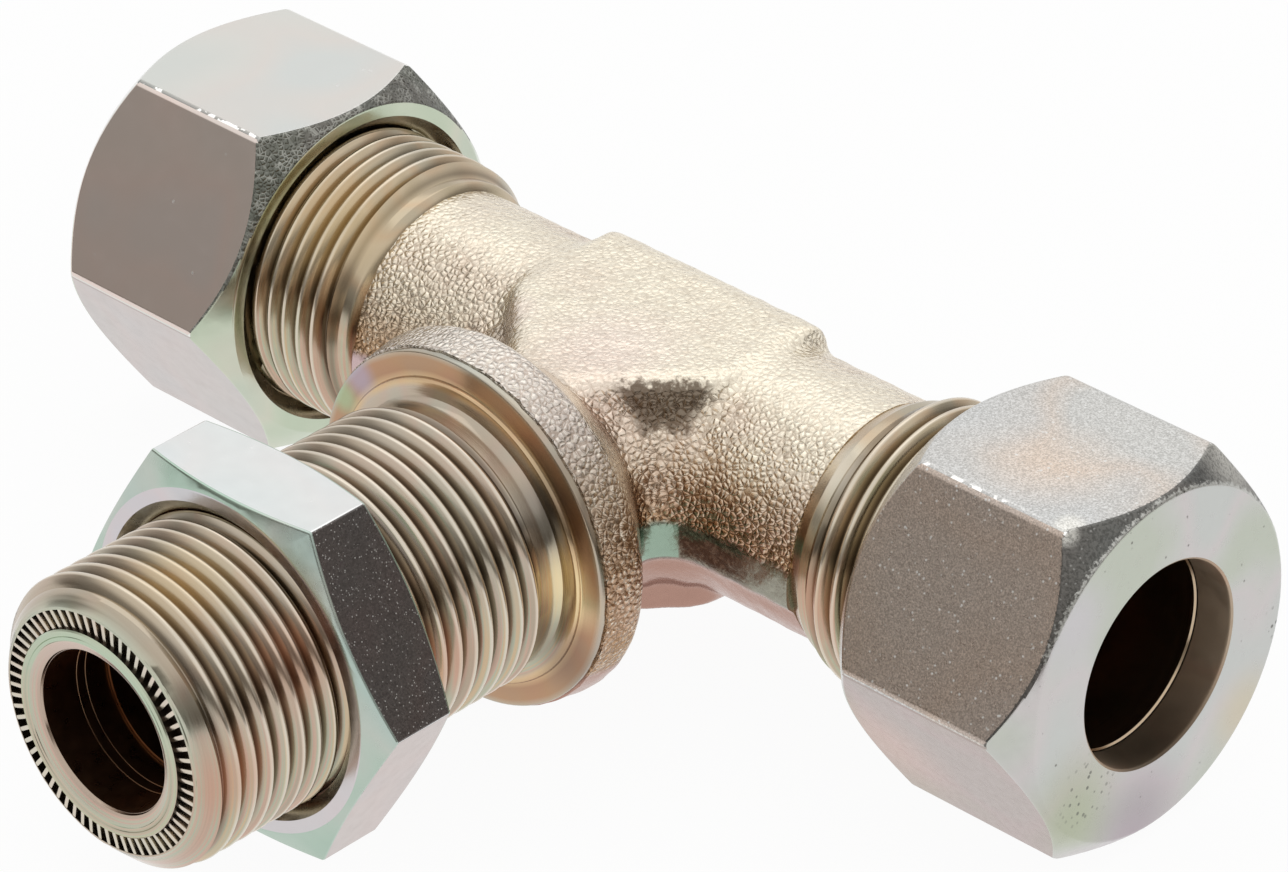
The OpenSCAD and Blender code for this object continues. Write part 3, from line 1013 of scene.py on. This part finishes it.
@dataclass(frozen=True)
class Thread:
    """A right-hand metric thread, cut as rows that climb one pitch in a turn."""

    crest_r: float = 11.0
    root_r: float = 10.12
    pitch: float = 1.5
    crest_half: float = 0.08
    corner: float = 0.16
    corner_drop: float = 0.1
    flank: float = math.radians(30)
    lead: float = 0.9

    def rows(self) -> list[Point]:
        """One pitch of the profile, as radii and places along it."""
        crest, root = self.crest_r, self.root_r
        shoulder = self.crest_half + self.corner
        foot = shoulder + (crest - root - 2 * self.corner_drop) * math.tan(self.flank)
        half = self.pitch / 2
        flat = (half - foot) / 2
        return [
            (crest, -self.crest_half), (crest, self.crest_half),
            (crest - self.corner_drop, shoulder), (root + self.corner_drop, foot),
            (root, half - flat), (root, half + flat),
            (root + self.corner_drop, self.pitch - foot), (crest - self.corner_drop, self.pitch - shoulder),
        ]

    def trimmed(self, foot: Point, end: Point) -> Limit:
        """A limit that keeps the thread inside its lead and its end chamfer.

        Args:
            foot: Radius and place of the ring where the lead rises from.
            end: Radius and place of the stud's end, from which the chamfer widens at 45 degrees.

        Returns:
            The skin's radius from the thread's own radius and the place along Z.
        """
        foot_r, foot_at = foot
        end_r, end_at = end
        chamfer_from = end_at - (self.crest_r - end_r)

        def limit(radius: float, along: float) -> float:
            """The smallest of the thread, its lead and its chamfer."""
            rising = foot_r + (along - foot_at) * self.lead
            falling = self.crest_r - max(along - chamfer_from, 0)
            return min(radius, rising, falling)

        return limit

    def barrel(self, name: str, start: Point, end: Point, limit: Limit) -> Piece:
        """Cuts the thread between two plain rings.

        Args:
            name: The new object's name.
            start: Radius and place of the ring where the thread begins.
            end: Radius and place of the ring where it ends.
            limit: Gives the skin's radius from the thread's own radius and the place along Z.

        Returns:
            The threaded skin, open at its two rings.
        """
        first = math.floor(start[1] / self.pitch) - 2
        last = math.ceil(end[1] / self.pitch) + 1
        rows = [
            Vector((radius, 0, along + lap * self.pitch))
            for lap in range(first, last + 1) for radius, along in self.rows()
        ]
        piece = draw_line(name, rows)
        finish_modifier(
            piece, "SCREW", axis="Z", angle=FULL_TURN, screw_offset=self.pitch * MM, steps=COLUMNS,
            render_steps=COLUMNS, iterations=1, use_smooth_shade=False,
        )
        for vertex in piece.data.vertices:
            along = vertex.co.z / MM
            radius = vertex.co.xy.length / MM
            if along <= start[1]:
                radius, along = start
            elif along >= end[1]:
                radius, along = end
            else:
                radius = limit(radius, along)
            flat = vertex.co.xy.normalized() * radius * MM
            vertex.co = (flat.x, flat.y, along * MM)
        return piece


def threaded(name: str, thread: Thread, before: Profile, after: Profile, limit: Limit) -> Piece:
    """Joins a thread to the plain turned forms at its two ends.

    Args:
        name: The new object's name.
        thread: The thread between them.
        before: The profile up to the thread's first ring.
        after: The profile from the thread's last ring.
        limit: Gives the skin's radius from the thread's own radius and the place along Z.

    Returns:
        One closed solid.
    """
    parts = [
        turn(name, before),
        thread.barrel(f"{name}_thread", before[-1], after[0], limit),
        turn(f"{name}_end", after),
    ]
    return weld(join(name, parts))


def span(node: str, arm: Arm) -> Point:
    """Where a solid of the frame starts and ends along its arm, in millimetres."""
    low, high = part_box(node)
    ends = {Arm.RIGHT: (low.x, high.x), Arm.LEFT: (-high.x, -low.x), Arm.BRANCH: (-high.y, -low.y)}[arm]
    return ends[0] / MM, ends[1] / MM


THREAD = Thread()
NUT_THREAD = Thread(crest_r=THREAD.crest_r + 0.06, root_r=THREAD.root_r + 0.08)


@dataclass
class Body:
    """The one-piece tee: a blasted forging with three turned and threaded ends."""

    arm_r: float = 9.4
    forged_len: float = 21.3
    forged_len_left: float = 22.1
    shoulder_at: float = 22.6
    run_len: float = 36.5
    relief_r: float = 10.0
    relief_len: float = 0.7
    bore_r: float = 6.0
    socket_r: float = 7.6
    socket_depth: float = 7.0
    cone_mouth_r: float = 8.5
    cone_slope: float = math.radians(12)
    neck_r: float = 9.2
    block_top: float = 9.6
    block_half: float = 10.3
    block_back: float = 7.0
    block_front: float = 12.7
    crotch_cut: float = 7.4
    lip: float = 1.6
    back_round: float = 2.4
    end_round: float = 1.3
    front_round: float = 0.6
    under_round: float = 3.3
    crotch_r: float = 3.2
    swelling: float = 2.4
    web_levels: int = 8
    flash_proud: float = 0.3
    flash_top: float = 0.5
    flash_bottom: float = -2.6
    flange_at: float = 20.5
    flange_r: float = 13.7
    flange_back_r: float = 14.3
    flange_back_at: float = 17.0
    neck_to: float = 14.0
    stub: float = 1.5
    spigot_r: float = 11.8
    spigot_h: float = 0.4
    band_r: float = 10.15
    band_len: float = 1.8
    branch_len: float = 55.0
    end_face_r: float = 9.3
    groove_out_r: float = 9.12
    groove_in_r: float = 7.76
    groove_depth: float = 0.5
    lip_h: float = 0.3
    mouth_r: float = 6.1
    mouth_lines: tuple[float, ...] = (6.5, 4.5, 3.7)
    branch_bore_r: float = 5.9
    teeth: int = 64
    tooth_w: float = 0.34
    tooth_edge: float = 0.06
    tooth_skew: float = 12.0
    voxel: float = 0.32
    smoothing: int = 22
    peel_size: float = 1.3
    peel_depth: float = 0.1
    edge: float = 0.15

    def run_end(self, arm: Arm) -> Piece:
        """Turns one end of the run, with its shoulder, relief and thread."""
        relief, edge = self.relief_r, self.edge
        foot = (relief, self.shoulder_at + self.relief_len)
        forged_to = self.forged_len if arm is Arm.RIGHT else self.forged_len_left
        before = [
            (0, forged_to - self.stub), (self.arm_r - 0.5, forged_to - self.stub),
            (self.arm_r - 0.12, forged_to - 0.1), (relief - 0.12, self.shoulder_at - 0.25),
            *arc((relief - edge, self.shoulder_at), edge, -30, 0, 2), foot,
        ]
        end_r = THREAD.root_r - 0.1
        after = [
            (end_r, self.run_len - edge), *arc((end_r - edge, self.run_len - edge), edge, 30, 90, 2),
            (0, self.run_len),
        ]
        limit = THREAD.trimmed(foot, (end_r, self.run_len))
        end = threaded(f"run_end_{arm.name.lower()}", THREAD, before, after, limit)
        return lay(paint(end, RUN_TURNED, TEE_FINISHES), arm)

    def branch_end(self) -> Piece:
        """Turns the branch: flange face, ring, smooth band, long thread and serrated end."""
        ring_top = self.flange_at + self.spigot_h
        foot = (self.relief_r + 0.1, ring_top + self.band_len)
        face_r, edge, end = self.flange_r, self.edge, self.branch_len
        band_r, spigot_r = self.band_r, self.spigot_r
        before = [
            (0, self.neck_to), (self.neck_r - 1, self.neck_to), (face_r - 1.5, self.flange_at - 2),
            (face_r + 0.02, self.flange_at - 0.62), (face_r, self.flange_at - edge),
            *arc((face_r - edge, self.flange_at - edge), edge, 30, 90, 2),
            (spigot_r + 0.15, self.flange_at), (spigot_r + 0.03, self.flange_at + 0.06),
            (spigot_r, ring_top - 0.15), (spigot_r - 0.1, ring_top - 0.03), (spigot_r - 0.25, ring_top),
            (band_r + 0.75, ring_top), (band_r + 0.35, ring_top + 0.1), (band_r + 0.1, ring_top + 0.4),
            (band_r, ring_top + 0.9), foot,
        ]
        after = [
            (self.end_face_r, end - 0.12), (self.end_face_r - 0.05, end - 0.03),
            (self.end_face_r - 0.12, end), *self.end_face(),
        ]
        limit = THREAD.trimmed(foot, (self.end_face_r, end))
        stud = paint(threaded("branch_end", THREAD, before, after, limit), BRANCH_TURNED, TEE_FINISHES)
        self.shade_groove(stud)
        ridges = paint(self.ridges(), TOOTH, TEE_FINISHES)
        return lay(combine(stud, ridges, "UNION"), Arm.BRANCH)

    def end_face(self) -> list[Point]:
        """The branch's end from the serrations' groove inward, over a raised lip with two fine lines."""
        end, lip = self.branch_len, self.branch_len + self.lip_h
        floor = end - self.groove_depth
        return [
            (self.groove_out_r, end), (self.groove_out_r, floor), (self.groove_in_r, floor),
            (self.groove_in_r, lip - 0.1), (self.groove_in_r - 0.1, lip),
            (7.3, lip), (7.26, lip - 0.04), (7.22, lip), (6.98, lip), (6.94, lip - 0.05), (6.88, lip - 0.06),
            (6.3, end - 0.1), (6.2, end - 0.12), (6.12, end - 0.3), (0, end - 0.3),
        ]

    def shade_groove(self, stud: Piece) -> None:
        """Paints shade onto the floor and the walls of the groove that the serrations stand in."""
        slack = 0.01
        floor, top = self.branch_len - self.groove_depth - slack, self.branch_len - 2 * slack
        inner, outer = self.groove_in_r - slack, self.groove_out_r + slack
        repaint(stud, NOTCH_SHADE, TEE_FINISHES, lambda face: floor < face.center.z / MM < top
                and inner < face.center.xy.length / MM < outer)

    def ridges(self) -> Piece:
        """Models one ridge of the serrated face and copies it round the groove."""
        deselect()
        bpy.ops.mesh.primitive_cube_add(size=MM)
        first = bpy.context.active_object
        length = self.groove_out_r - self.groove_in_r + 2 * self.tooth_edge
        first.scale = (length, self.tooth_w, self.groove_depth + 0.1)
        settle(first)
        with editing(first):
            bpy.ops.mesh.bevel(offset=self.tooth_edge * MM, segments=2, affect="EDGES")
        first.rotation_euler = (0, 0, math.radians(self.tooth_skew))
        middle = (self.groove_out_r + self.groove_in_r) / 2
        first.location = Vector((middle, 0, self.branch_len - self.groove_depth / 2 - self.tooth_edge)) * MM
        settle(first)
        copies = [first]
        for number in range(1, self.teeth):
            copy = first.copy()
            copy.data = first.data.copy()
            bpy.context.scene.collection.objects.link(copy)
            copy.rotation_euler = (0, 0, FULL_TURN * number / self.teeth)
            copies.append(copy)
        pick(first)
        for copy in copies:
            copy.select_set(True)
        bpy.ops.object.transform_apply(location=True, rotation=True, scale=True)
        return join("ridges", copies)

    def block(self) -> Piece:
        """Models the centre block: crotch corners cut back, flats above and below, ends sloping."""
        deselect()
        middle = (self.block_back - self.block_front) / 2
        bpy.ops.mesh.primitive_cube_add(size=MM, location=(0, middle * MM, 0))
        piece = bpy.context.active_object
        piece.name = "block"
        piece.scale = (2 * self.block_half, self.block_back + self.block_front, 2 * self.block_top)
        settle(piece)
        end = self.block_half * MM * 0.9
        bevel_edges(piece, lambda a, b: abs(a.z - b.z) > MM and a.y < 0, self.crotch_cut, 1)
        bevel_edges(piece, lambda a, b: a.z > MM and b.z > MM and abs(a.x - b.x) > MM and abs(a.y - b.y) > MM,
                    self.lip, 3)
        bevel_edges(piece, lambda a, b: abs(a.z - b.z) < WELD and a.y > 0 and b.y > 0 and abs(a.x - b.x) > MM,
                    self.back_round, 4)
        bevel_edges(piece, lambda a, b: abs(a.z - b.z) < WELD and abs(a.x) > end and abs(a.x - b.x) < WELD,
                    self.end_round, 2)
        bevel_edges(piece, self.front_edge(1), self.front_round, 2)
        bevel_edges(piece, self.front_edge(-1), self.under_round, 2)
        return piece

    def front_edge(self, side: int) -> Callable[[Vector, Vector], bool]:
        """A test for the block's long edge over the neck, above with side 1 and below with side -1."""
        level = 0.9 * self.block_top * MM
        front = -0.98 * self.block_front * MM

        def wanted(a: Vector, b: Vector) -> bool:
            """Whether both ends of an edge lie there."""
            return side * a.z > level and side * b.z > level and a.y < front and b.y < front

        return wanted

    def web(self, name: str, side: int, proud: float, levels: Sequence[tuple[float, float]]) -> Piece:
        """Fills one crotch with a web whose edge is a round hollow.

        Args:
            name: The new object's name.
            side: 1 for the right crotch and -1 for the left.
            proud: How far the web stands outside the arm and the neck.
            levels: Height and scale of each level.

        Returns:
            The closed web.
        """
        across = self.neck_r + proud + self.crotch_r
        down = self.arm_r + proud + self.crotch_r
        hollow = arc((across, -down), self.crotch_r, 180, 90, 8)
        plan = [(0, 0), (0, -down), *hollow, (across, 0)]
        return raise_plan(name, [(side * x, y) for x, y in plan], levels)

    def forging(self) -> Piece:
        """Grows the arms, neck, block, flange and flash line into one blasted skin."""
        half = self.forged_len + 2
        run = lay(turn("run", [(0, -half), (self.arm_r, -half), (self.arm_r, half), (0, half)]), Arm.RIGHT)
        beyond = self.flange_at + self.stub
        neck = lay(turn("neck", [
            (0, 0), (self.neck_r, 0), (self.neck_r, 11.9), (13.7, 16.3), (self.flange_back_r - 0.1, 16.7),
            (self.flange_back_r, self.flange_back_at), (self.flange_r + 0.1, self.flange_at),
            (self.flange_r, beyond), (0, beyond),
        ]), Arm.BRANCH)
        heights = [k / self.web_levels for k in range(1 - self.web_levels, self.web_levels)]
        swell = [(self.block_top * k, (1 - abs(k) ** self.swelling) ** (1 / self.swelling)) for k in heights]
        slab = [(self.flash_bottom, 1.0), (self.flash_top, 1.0)]
        flash_r = self.arm_r + self.flash_proud
        flash_run = [(-half, -flash_r), (half, -flash_r), (half, flash_r), (-half, flash_r)]
        flash_neck_r = self.neck_r + self.flash_proud
        flash_neck = [(-flash_neck_r, -18), (flash_neck_r, -18), (flash_neck_r, 0), (-flash_neck_r, 0)]
        parts = [run, neck, self.block()]
        for proud, levels in ((0.0, swell), (self.flash_proud, slab)):
            parts += [self.web("web", side, proud, levels) for side in (1, -1)]
        parts += [raise_plan("flash_run", flash_run, slab), raise_plan("flash_neck", flash_neck, slab)]
        skin = join("forging", parts)
        finish_modifier(skin, "REMESH", mode="VOXEL", voxel_size=self.voxel * MM)
        finish_modifier(skin, "SMOOTH", factor=0.5, iterations=self.smoothing)
        peel = bpy.data.textures.new("peel", "CLOUDS")
        peel.noise_scale = self.peel_size * MM
        peel.noise_depth = 0
        finish_modifier(skin, "DISPLACE", texture=peel, texture_coords="LOCAL", mid_level=0.5,
                        strength=self.peel_depth * MM)
        self.trim(skin, Vector((0, -(self.flange_at - 0.6), 0)), Vector((0, -1, 0)))
        self.trim(skin, Vector((self.forged_len, 0, 0)), Vector((1, 0, 0)))
        self.trim(skin, Vector((-self.forged_len_left, 0, 0)), Vector((-1, 0, 0)))
        return paint(skin, FORGED, TEE_FINISHES)

    @staticmethod
    def trim(skin: Piece, point: Vector, outward: Vector) -> None:
        """Saws the forging off at a plane and closes it.

        Args:
            skin: The forging.
            point: A point of the plane in millimetres.
            outward: The side that falls away.
        """
        with editing(skin):
            bpy.ops.mesh.bisect(plane_co=point * MM, plane_no=outward, clear_outer=True, use_fill=True)

    def passages(self) -> list[Piece]:
        """Turns the tools that cut the run's bore and sockets and the branch's bore and mouth."""
        bore = lay(turn("run_bore", [(0, -40), (self.bore_r, -40), (self.bore_r, 40), (0, 40)]), Arm.RIGHT)
        run = self.run_len
        cone_len = (self.cone_mouth_r - self.socket_r) / math.tan(self.cone_slope)
        socket_from = run - self.socket_depth
        socket = [
            (0, socket_from), (self.socket_r, socket_from), (self.socket_r, run - cone_len),
            (self.cone_mouth_r, run), (self.cone_mouth_r + 0.2, run + 0.6), (0, run + 0.6),
        ]
        end = self.branch_len + self.lip_h
        bore_to = end - self.mouth_lines[0]
        branch: list[Point] = [(0, 0), (self.branch_bore_r, 0), (self.branch_bore_r, bore_to)]
        for depth in self.mouth_lines:
            at = end - depth
            branch += [(self.mouth_r, at), (self.mouth_r + 0.08, at + 0.05), (self.mouth_r, at + 0.1)]
        branch += [(self.mouth_r, end + OVERCUT), (0, end + OVERCUT)]
        return [
            bore, lay(turn("socket_right", socket), Arm.RIGHT), lay(turn("socket_left", socket), Arm.LEFT),
            lay(turn("branch_bore", branch), Arm.BRANCH),
        ]

    def build(self) -> Piece:
        """Makes the whole tee as one closed skin."""
        tee = self.forging()
        for end in (self.run_end(Arm.RIGHT), self.run_end(Arm.LEFT), self.branch_end()):
            combine(tee, end, "UNION")
        for tool in self.passages():
            combine(tee, paint(tool, BORE_SHADE, TEE_FINISHES), "DIFFERENCE")
        tee.name = "tee"
        return smooth(tee)


@dataclass(frozen=True)
class NutDress:
    """The finishes of a nut's surfaces; front and under are darker copies of the flat's finish, painted shade
    on the flat that faces the open side and on the flats below.
    """

    flat: Finish
    front: Finish
    under: Finish
    corner: Finish
    low: Finish
    end: Finish

    def finishes(self) -> tuple[Finish, ...]:
        """The finishes of the nut's slots, each once."""
        named = (self.flat, self.front, self.under, self.corner, self.low, self.end, MOUTH, TUBE_HOLE, BORE_SHADE)
        return tuple(dict.fromkeys(named))


BLASTED_DRESS = NutDress(BLASTED, BLASTED_FRONT_SHADE, BLASTED_UNDER_SHADE, BLASTED_CORNER, BLASTED_FACE, BLASTED_FACE)
SMOOTH_DRESS = NutDress(SMOOTH, SMOOTH_FRONT_SHADE, SMOOTH_UNDER_SHADE, SMOOTH_CORNER, SMOOTH_LOW, SMOOTH_LOW)
LOCKING_DRESS = NutDress(LOCKING, LOCKING_SIDE_SHADE, LOCKING_UNDER_SHADE, LOCKING_CORNER, LOCKING_CORNER, LOCKING_END)


@dataclass
class Nut:
    """A hexagon nut with chamfered corners, worn edges and an internal thread."""

    name: str
    node: str
    arm: Arm
    dress: NutDress
    facing: Place = (0.0, -0.866, 0.5)
    face_r: float = 13.2
    slope: float = 45.0
    worn: float = 0.3
    edge: float = 0.16
    bore_r: float = THREAD.crest_r + 0.1
    mouth: float = 0.9
    broken: Point = (0.15, 0.15)

    def span(self) -> Point:
        """Where the nut starts and ends along its arm, from its solid in the frame."""
        return span(self.node, self.arm)

    def across(self) -> float:
        """The nut's size across its flats, which lie level."""
        low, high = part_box(self.node)
        return (high.z - low.z) / MM

    def outside(self) -> Piece:
        """Cuts a hexagon bar to length and turns its corners off."""
        start, end = self.span()
        corner_r = self.across() / math.sqrt(3)
        deselect()
        bpy.ops.mesh.primitive_cylinder_add(
            vertices=6, radius=corner_r * MM, depth=(end - start) * MM,
            location=(0, 0, (start + end) / 2 * MM),
            rotation=(0, 0, math.radians(30) if self.arm is Arm.BRANCH else 0),
        )
        bar = bpy.context.active_object
        bar.name = self.name
        settle(bar)
        bevel_edges(bar, lambda a, b: abs(a.z - b.z) > MM, self.worn, 6)
        over = corner_r + 0.6
        drop = (over - self.face_r) * math.tan(math.radians(self.slope))
        slack = 0.01
        below, above, face_r = start - slack, end + slack, self.face_r - slack
        blank = turn("blank", [
            (0, below), (face_r, below), (over, start + drop),
            (over, end - drop), (face_r, above), (0, above),
        ], columns=96)
        combine(bar, blank, "INTERSECT")
        weld(bar)
        finish_modifier(
            bar, "BEVEL", width=self.edge * MM, segments=2, limit_method="ANGLE",
            angle_limit=math.radians(20), use_clamp_overlap=False,
        )
        finishes = self.dress.finishes()
        paint(bar, self.dress.flat, finishes)
        repaint(bar, self.dress.corner, finishes, lambda face: abs(face.normal.z) > 0.22)
        return repaint(bar, self.dress.end, finishes, lambda face: abs(face.normal.z) > 0.98)

    def entry(self) -> list[Point]:
        """The countersink that the hollow starts with, its edge broken."""
        start, _ = self.span()
        out = self.bore_r + self.mouth
        wide, deep = self.broken
        return [
            (0, start - OVERCUT), (out + wide + OVERCUT, start - OVERCUT), (out + wide, start),
            (out, start + deep), (self.bore_r, start + self.mouth),
        ]

    def beyond(self) -> list[Point]:
        """The profile of the hollow from the end of its thread."""
        raise NotImplementedError

    def hollow(self) -> Piece:
        """Turns the tool that cuts the nut's hollow, painted with shade but for its brighter ends."""
        finishes = self.dress.finishes()
        tool = threaded("hollow", NUT_THREAD, self.entry(), self.beyond(), lambda radius, along: radius)
        paint(tool, BORE_SHADE, finishes)
        start, end = (place * MM for place in self.span())
        bore = (self.bore_r + 0.02) * MM
        repaint(tool, MOUTH, finishes, lambda face: face.center.z < start + 4 * MM
                or (face.center.xy.length > bore and face.center.z > end - 1.5 * MM))
        return repaint(tool, TUBE_HOLE, finishes, lambda face: face.center.xy.length < 8.1 * MM
                       and end - 2.2 * MM < face.center.z < end + 0.5 * MM)

    def build(self) -> Piece:
        """Makes the nut, cuts its hollow and lays it along its arm."""
        nut = combine(self.outside(), self.hollow(), "DIFFERENCE")
        smooth(self.redress(lay(nut, self.arm)), NUT_CRISP_ANGLE)
        return finish_modifier(nut, "WEIGHTED_NORMAL", keep_sharp=True, weight=100)

    def redress(self, nut: Piece) -> Piece:
        """Repaints the flat that lies in the open and the flats below with darker copies of the flat's
        finish, as painted shade, and repaints the chamfers that look down.
        """
        dress, finishes = self.dress, self.dress.finishes()
        flat, corner = finishes.index(dress.flat), finishes.index(dress.corner)
        facing = Vector(self.facing)
        repaint(nut, dress.flat, finishes, lambda face: face.material_index == corner and face.normal.z >= 0.3
                and self.arm is not Arm.BRANCH and face.normal.x < 0.2)
        repaint(nut, dress.low, finishes, lambda face: face.material_index == corner and face.normal.z < 0.3)
        repaint(nut, dress.under, finishes, lambda face: face.material_index == flat and face.normal.z < -0.1)
        return repaint(nut, dress.front, finishes,
                       lambda face: face.material_index == flat and face.normal.dot(facing) > 0.9)


@dataclass
class UnionNut(Nut):
    """The nut that presses a cutting ring onto the tube."""

    hole_r: float = 7.75
    wall: float = 3.0

    def beyond(self) -> list[Point]:
        """The cone that drives the ring, and the tube's hole."""
        _, end = self.span()
        cone_at = end - self.wall
        relief_at = cone_at - (self.bore_r - self.hole_r)
        hole = self.hole_r
        return [
            (self.bore_r, relief_at - 1.5), (self.bore_r, relief_at), (hole, cone_at), (hole, end - 0.3),
            (hole + 0.05, end - 0.12), (hole + 0.2, end), (hole + 0.2, end + OVERCUT), (0, end + OVERCUT),
        ]


@dataclass
class LockNut(Nut):
    """The thin nut that holds the bulkhead against the flange."""

    mouth: float = 0.8
    broken: Point = (0.15, 0.12)

    def beyond(self) -> list[Point]:
        """The countersink of the other end, which mirrors the first."""
        start, end = self.span()
        return [(radius, start + end - along) for radius, along in reversed(self.entry())]


@dataclass
class CuttingRing:
    """The hardened ring inside a union nut."""

    name: str
    node: str
    arm: Arm
    inner_r: float = 7.6
    tip_r: float = 7.85
    foot_r: float = 8.47
    outer_r: float = 9.6
    drive_r: float = 7.74
    nose_len: float = 3.2
    collar_at: float = 4.5
    edge: float = 0.15

    def build(self) -> Piece:
        """Turns the ring between its nose and its driven cone."""
        start, end = span(self.node, self.arm)
        inner, outer, drive, edge = self.inner_r, self.outer_r, self.drive_r, self.edge
        drive_from = end - (outer - drive)
        collar = start + self.collar_at
        profile = [
            (inner, start + 0.05), (inner + 0.05, start), (self.tip_r, start),
            (self.foot_r, start + self.nose_len),
            (outer - 0.1, collar - 0.22), *arc((outer - edge, collar), edge, -45, 0, 2),
            (outer, drive_from - edge), (outer - 0.08, drive_from), (drive, end - 0.03), (drive - 0.03, end),
            (inner, end - 0.14), (inner, start + 0.05),
        ]
        ring = paint(turn(self.name, profile), RING)
        return smooth(lay(ring, self.arm))


@dataclass(frozen=True)
class Studio:
    """Camera, floor and soft light, set as the photograph has them."""

    eye: Place = (289.05, -303.18, 261.65)
    right: Place = (0.7247, 0.6890, -0.0069)
    up: Place = (-0.3624, 0.3897, 0.8467)
    back: Place = (0.5860, -0.6111, 0.5321)
    focal_px: float = 6815.6
    frame_px: float = 1288.0
    film: float = 36.0
    nearest: float = 0.01
    farthest: float = 20.0
    sky: Stops = (
        (0.0, (0.27, 0.25, 0.23)), (0.08, (0.15, 0.135, 0.12)), (0.14, (0.19, 0.175, 0.155)),
        (0.2, (0.33, 0.315, 0.295)), (0.33, (0.38, 0.365, 0.345)), (0.4, (0.64, 0.625, 0.605)),
        (0.47, (0.92, 0.91, 0.895)), (0.56, (1.0, 1.0, 0.99)), (1.0, (1.0, 1.0, 1.0)),
    )
    behind: Place = (-0.692, 0.722, 0.0)
    screen_tint: Colour = (0.95, 0.95, 0.95)
    white: Colour = (1.0, 1.0, 1.0)
    paper_tint: Colour = (0.8, 0.8, 0.79)
    paper_glow: float = 0.95
    floor_size: float = 6.0
    floor_gap: float = 0.0002
    lamp_at: Place = (-0.3, 0.3, 0.75)
    lamp_size: Point = (0.9, 0.6)
    lamp_watts: float = 0.7

    def camera(self) -> None:
        """Sets the camera where the photograph was taken from."""
        deselect()
        bpy.ops.object.camera_add()
        camera = bpy.context.active_object
        camera.name = "camera"
        turned = Matrix((self.right, self.up, self.back)).transposed().to_4x4()
        camera.matrix_world = Matrix.Translation(Vector(self.eye) * MM) @ turned
        camera.data.sensor_width = self.film
        camera.data.lens = self.film * self.focal_px / self.frame_px
        camera.data.clip_start = self.nearest
        camera.data.clip_end = self.farthest
        bpy.context.scene.camera = camera

    def floor(self) -> None:
        """Lays a pale floor under the tee, white to the lens but for a soft shadow."""
        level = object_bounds()[0][2]
        deselect()
        bpy.ops.mesh.primitive_plane_add(size=self.floor_size, location=(0, 0, level - self.floor_gap))
        plane = bpy.context.active_object
        plane.name = "floor"
        job = Paint("floor_paper")
        job.set(Base_Color=self.paper_tint, Roughness=0.9)
        seen = job.node("ShaderNodeLightPath", {}, {}, "Is Camera Ray")
        mirrored = job.node("ShaderNodeLightPath", {}, {}, "Is Glossy Ray")
        glow = job.node("ShaderNodeEmission", {}, {"Color": self.white, "Strength": 1.0})
        share = seen * self.paper_glow + mirrored
        lit = Wire(job, job.shader.outputs[0])
        mixed = job.node("ShaderNodeMixShader", {}, {0: share, 1: lit, 2: glow})
        job.feed(job.tree.nodes["Material Output"].inputs["Surface"], mixed)
        plane.data.materials.append(job.material)
        plane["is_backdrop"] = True

    def world(self) -> None:
        """Lights the scene from a pale room, darker near its horizon but for a pale screen behind the tee."""
        world = bpy.data.worlds.new("studio")
        bpy.context.scene.world = world
        world.use_nodes = True
        job = Nodes(world.node_tree)
        place = job.node("ShaderNodeTexCoord", {}, {}, "Generated")
        height = job.node("ShaderNodeSeparateXYZ", {}, {0: place}, "Z")
        ends = {0: place, 1: self.behind}
        facing = job.node("ShaderNodeVectorMath", {"operation": "DOT_PRODUCT"}, ends, "Value")
        room = job.blend(facing.step(0.25, 0.7), job.ramp(height, self.sky), self.screen_tint)
        seen = job.node("ShaderNodeLightPath", {}, {}, "Is Camera Ray")
        light = job.tree.nodes["Background"]
        job.feed(light.inputs["Color"], job.blend(seen, room, self.white))
        light.inputs["Strength"].default_value = 1.0

    def lamps(self) -> None:
        """Hangs one large soft lamp behind and above the tee."""
        deselect()
        bpy.ops.object.light_add(type="AREA", location=self.lamp_at)
        lamp = bpy.context.active_object
        lamp.data.shape = "RECTANGLE"
        lamp.data.size, lamp.data.size_y = self.lamp_size
        lamp.data.energy = self.lamp_watts
        lamp.rotation_euler = (-lamp.location).to_track_quat("-Z", "Y").to_euler()

    def build(self) -> None:
        """Sets the whole studio."""
        self.camera()
        self.world()
        self.lamps()
        self.floor()
        bpy.context.scene.view_settings.view_transform = "Standard"


def place(piece: Piece, body: str, node: str, slot: str) -> None:
    """Hands a finished piece to the frame.

    Args:
        piece: The finished object.
        body: The body that it moves with.
        node: The solid that it stands for.
        slot: The record's material slot, which is not used.
    """
    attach(piece, body)
    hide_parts(node)
    LOG.info("%s: %d faces, in place of %s", piece.name, len(piece.data.polygons), node)


def main() -> None:
    """Builds the tee, its nuts and rings, and the studio round them."""
    logging.basicConfig(level=logging.INFO, format="%(message)s")
    Studio().build()
    right = UnionNut("nut_right", "union_nut_right", Arm.RIGHT, BLASTED_DRESS, worn=0.5)
    left = UnionNut("nut_left", "union_nut_left", Arm.LEFT, SMOOTH_DRESS, worn=0.4)
    lock = LockNut("locking_nut", "lock_nut", Arm.BRANCH, LOCKING_DRESS, facing=(0.866, 0.0, 0.5),
                   face_r=13.0, slope=20, worn=0.15)
    place(Body().build(), "tee", "tee_body", "forged_body")
    place(right.build(), "right_nut", right.node, "blasted_nut")
    place(left.build(), "left_nut", left.node, "smooth_nut")
    place(lock.build(), "lock", lock.node, "lock_nut")
    for side, arm in (("right", Arm.RIGHT), ("left", Arm.LEFT)):
        ring = CuttingRing(f"ring_{side}", f"cutting_ring_{side}", arm)
        place(ring.build(), f"{side}_ring", ring.node, "ring")


if __name__ == "__main__":
    main()
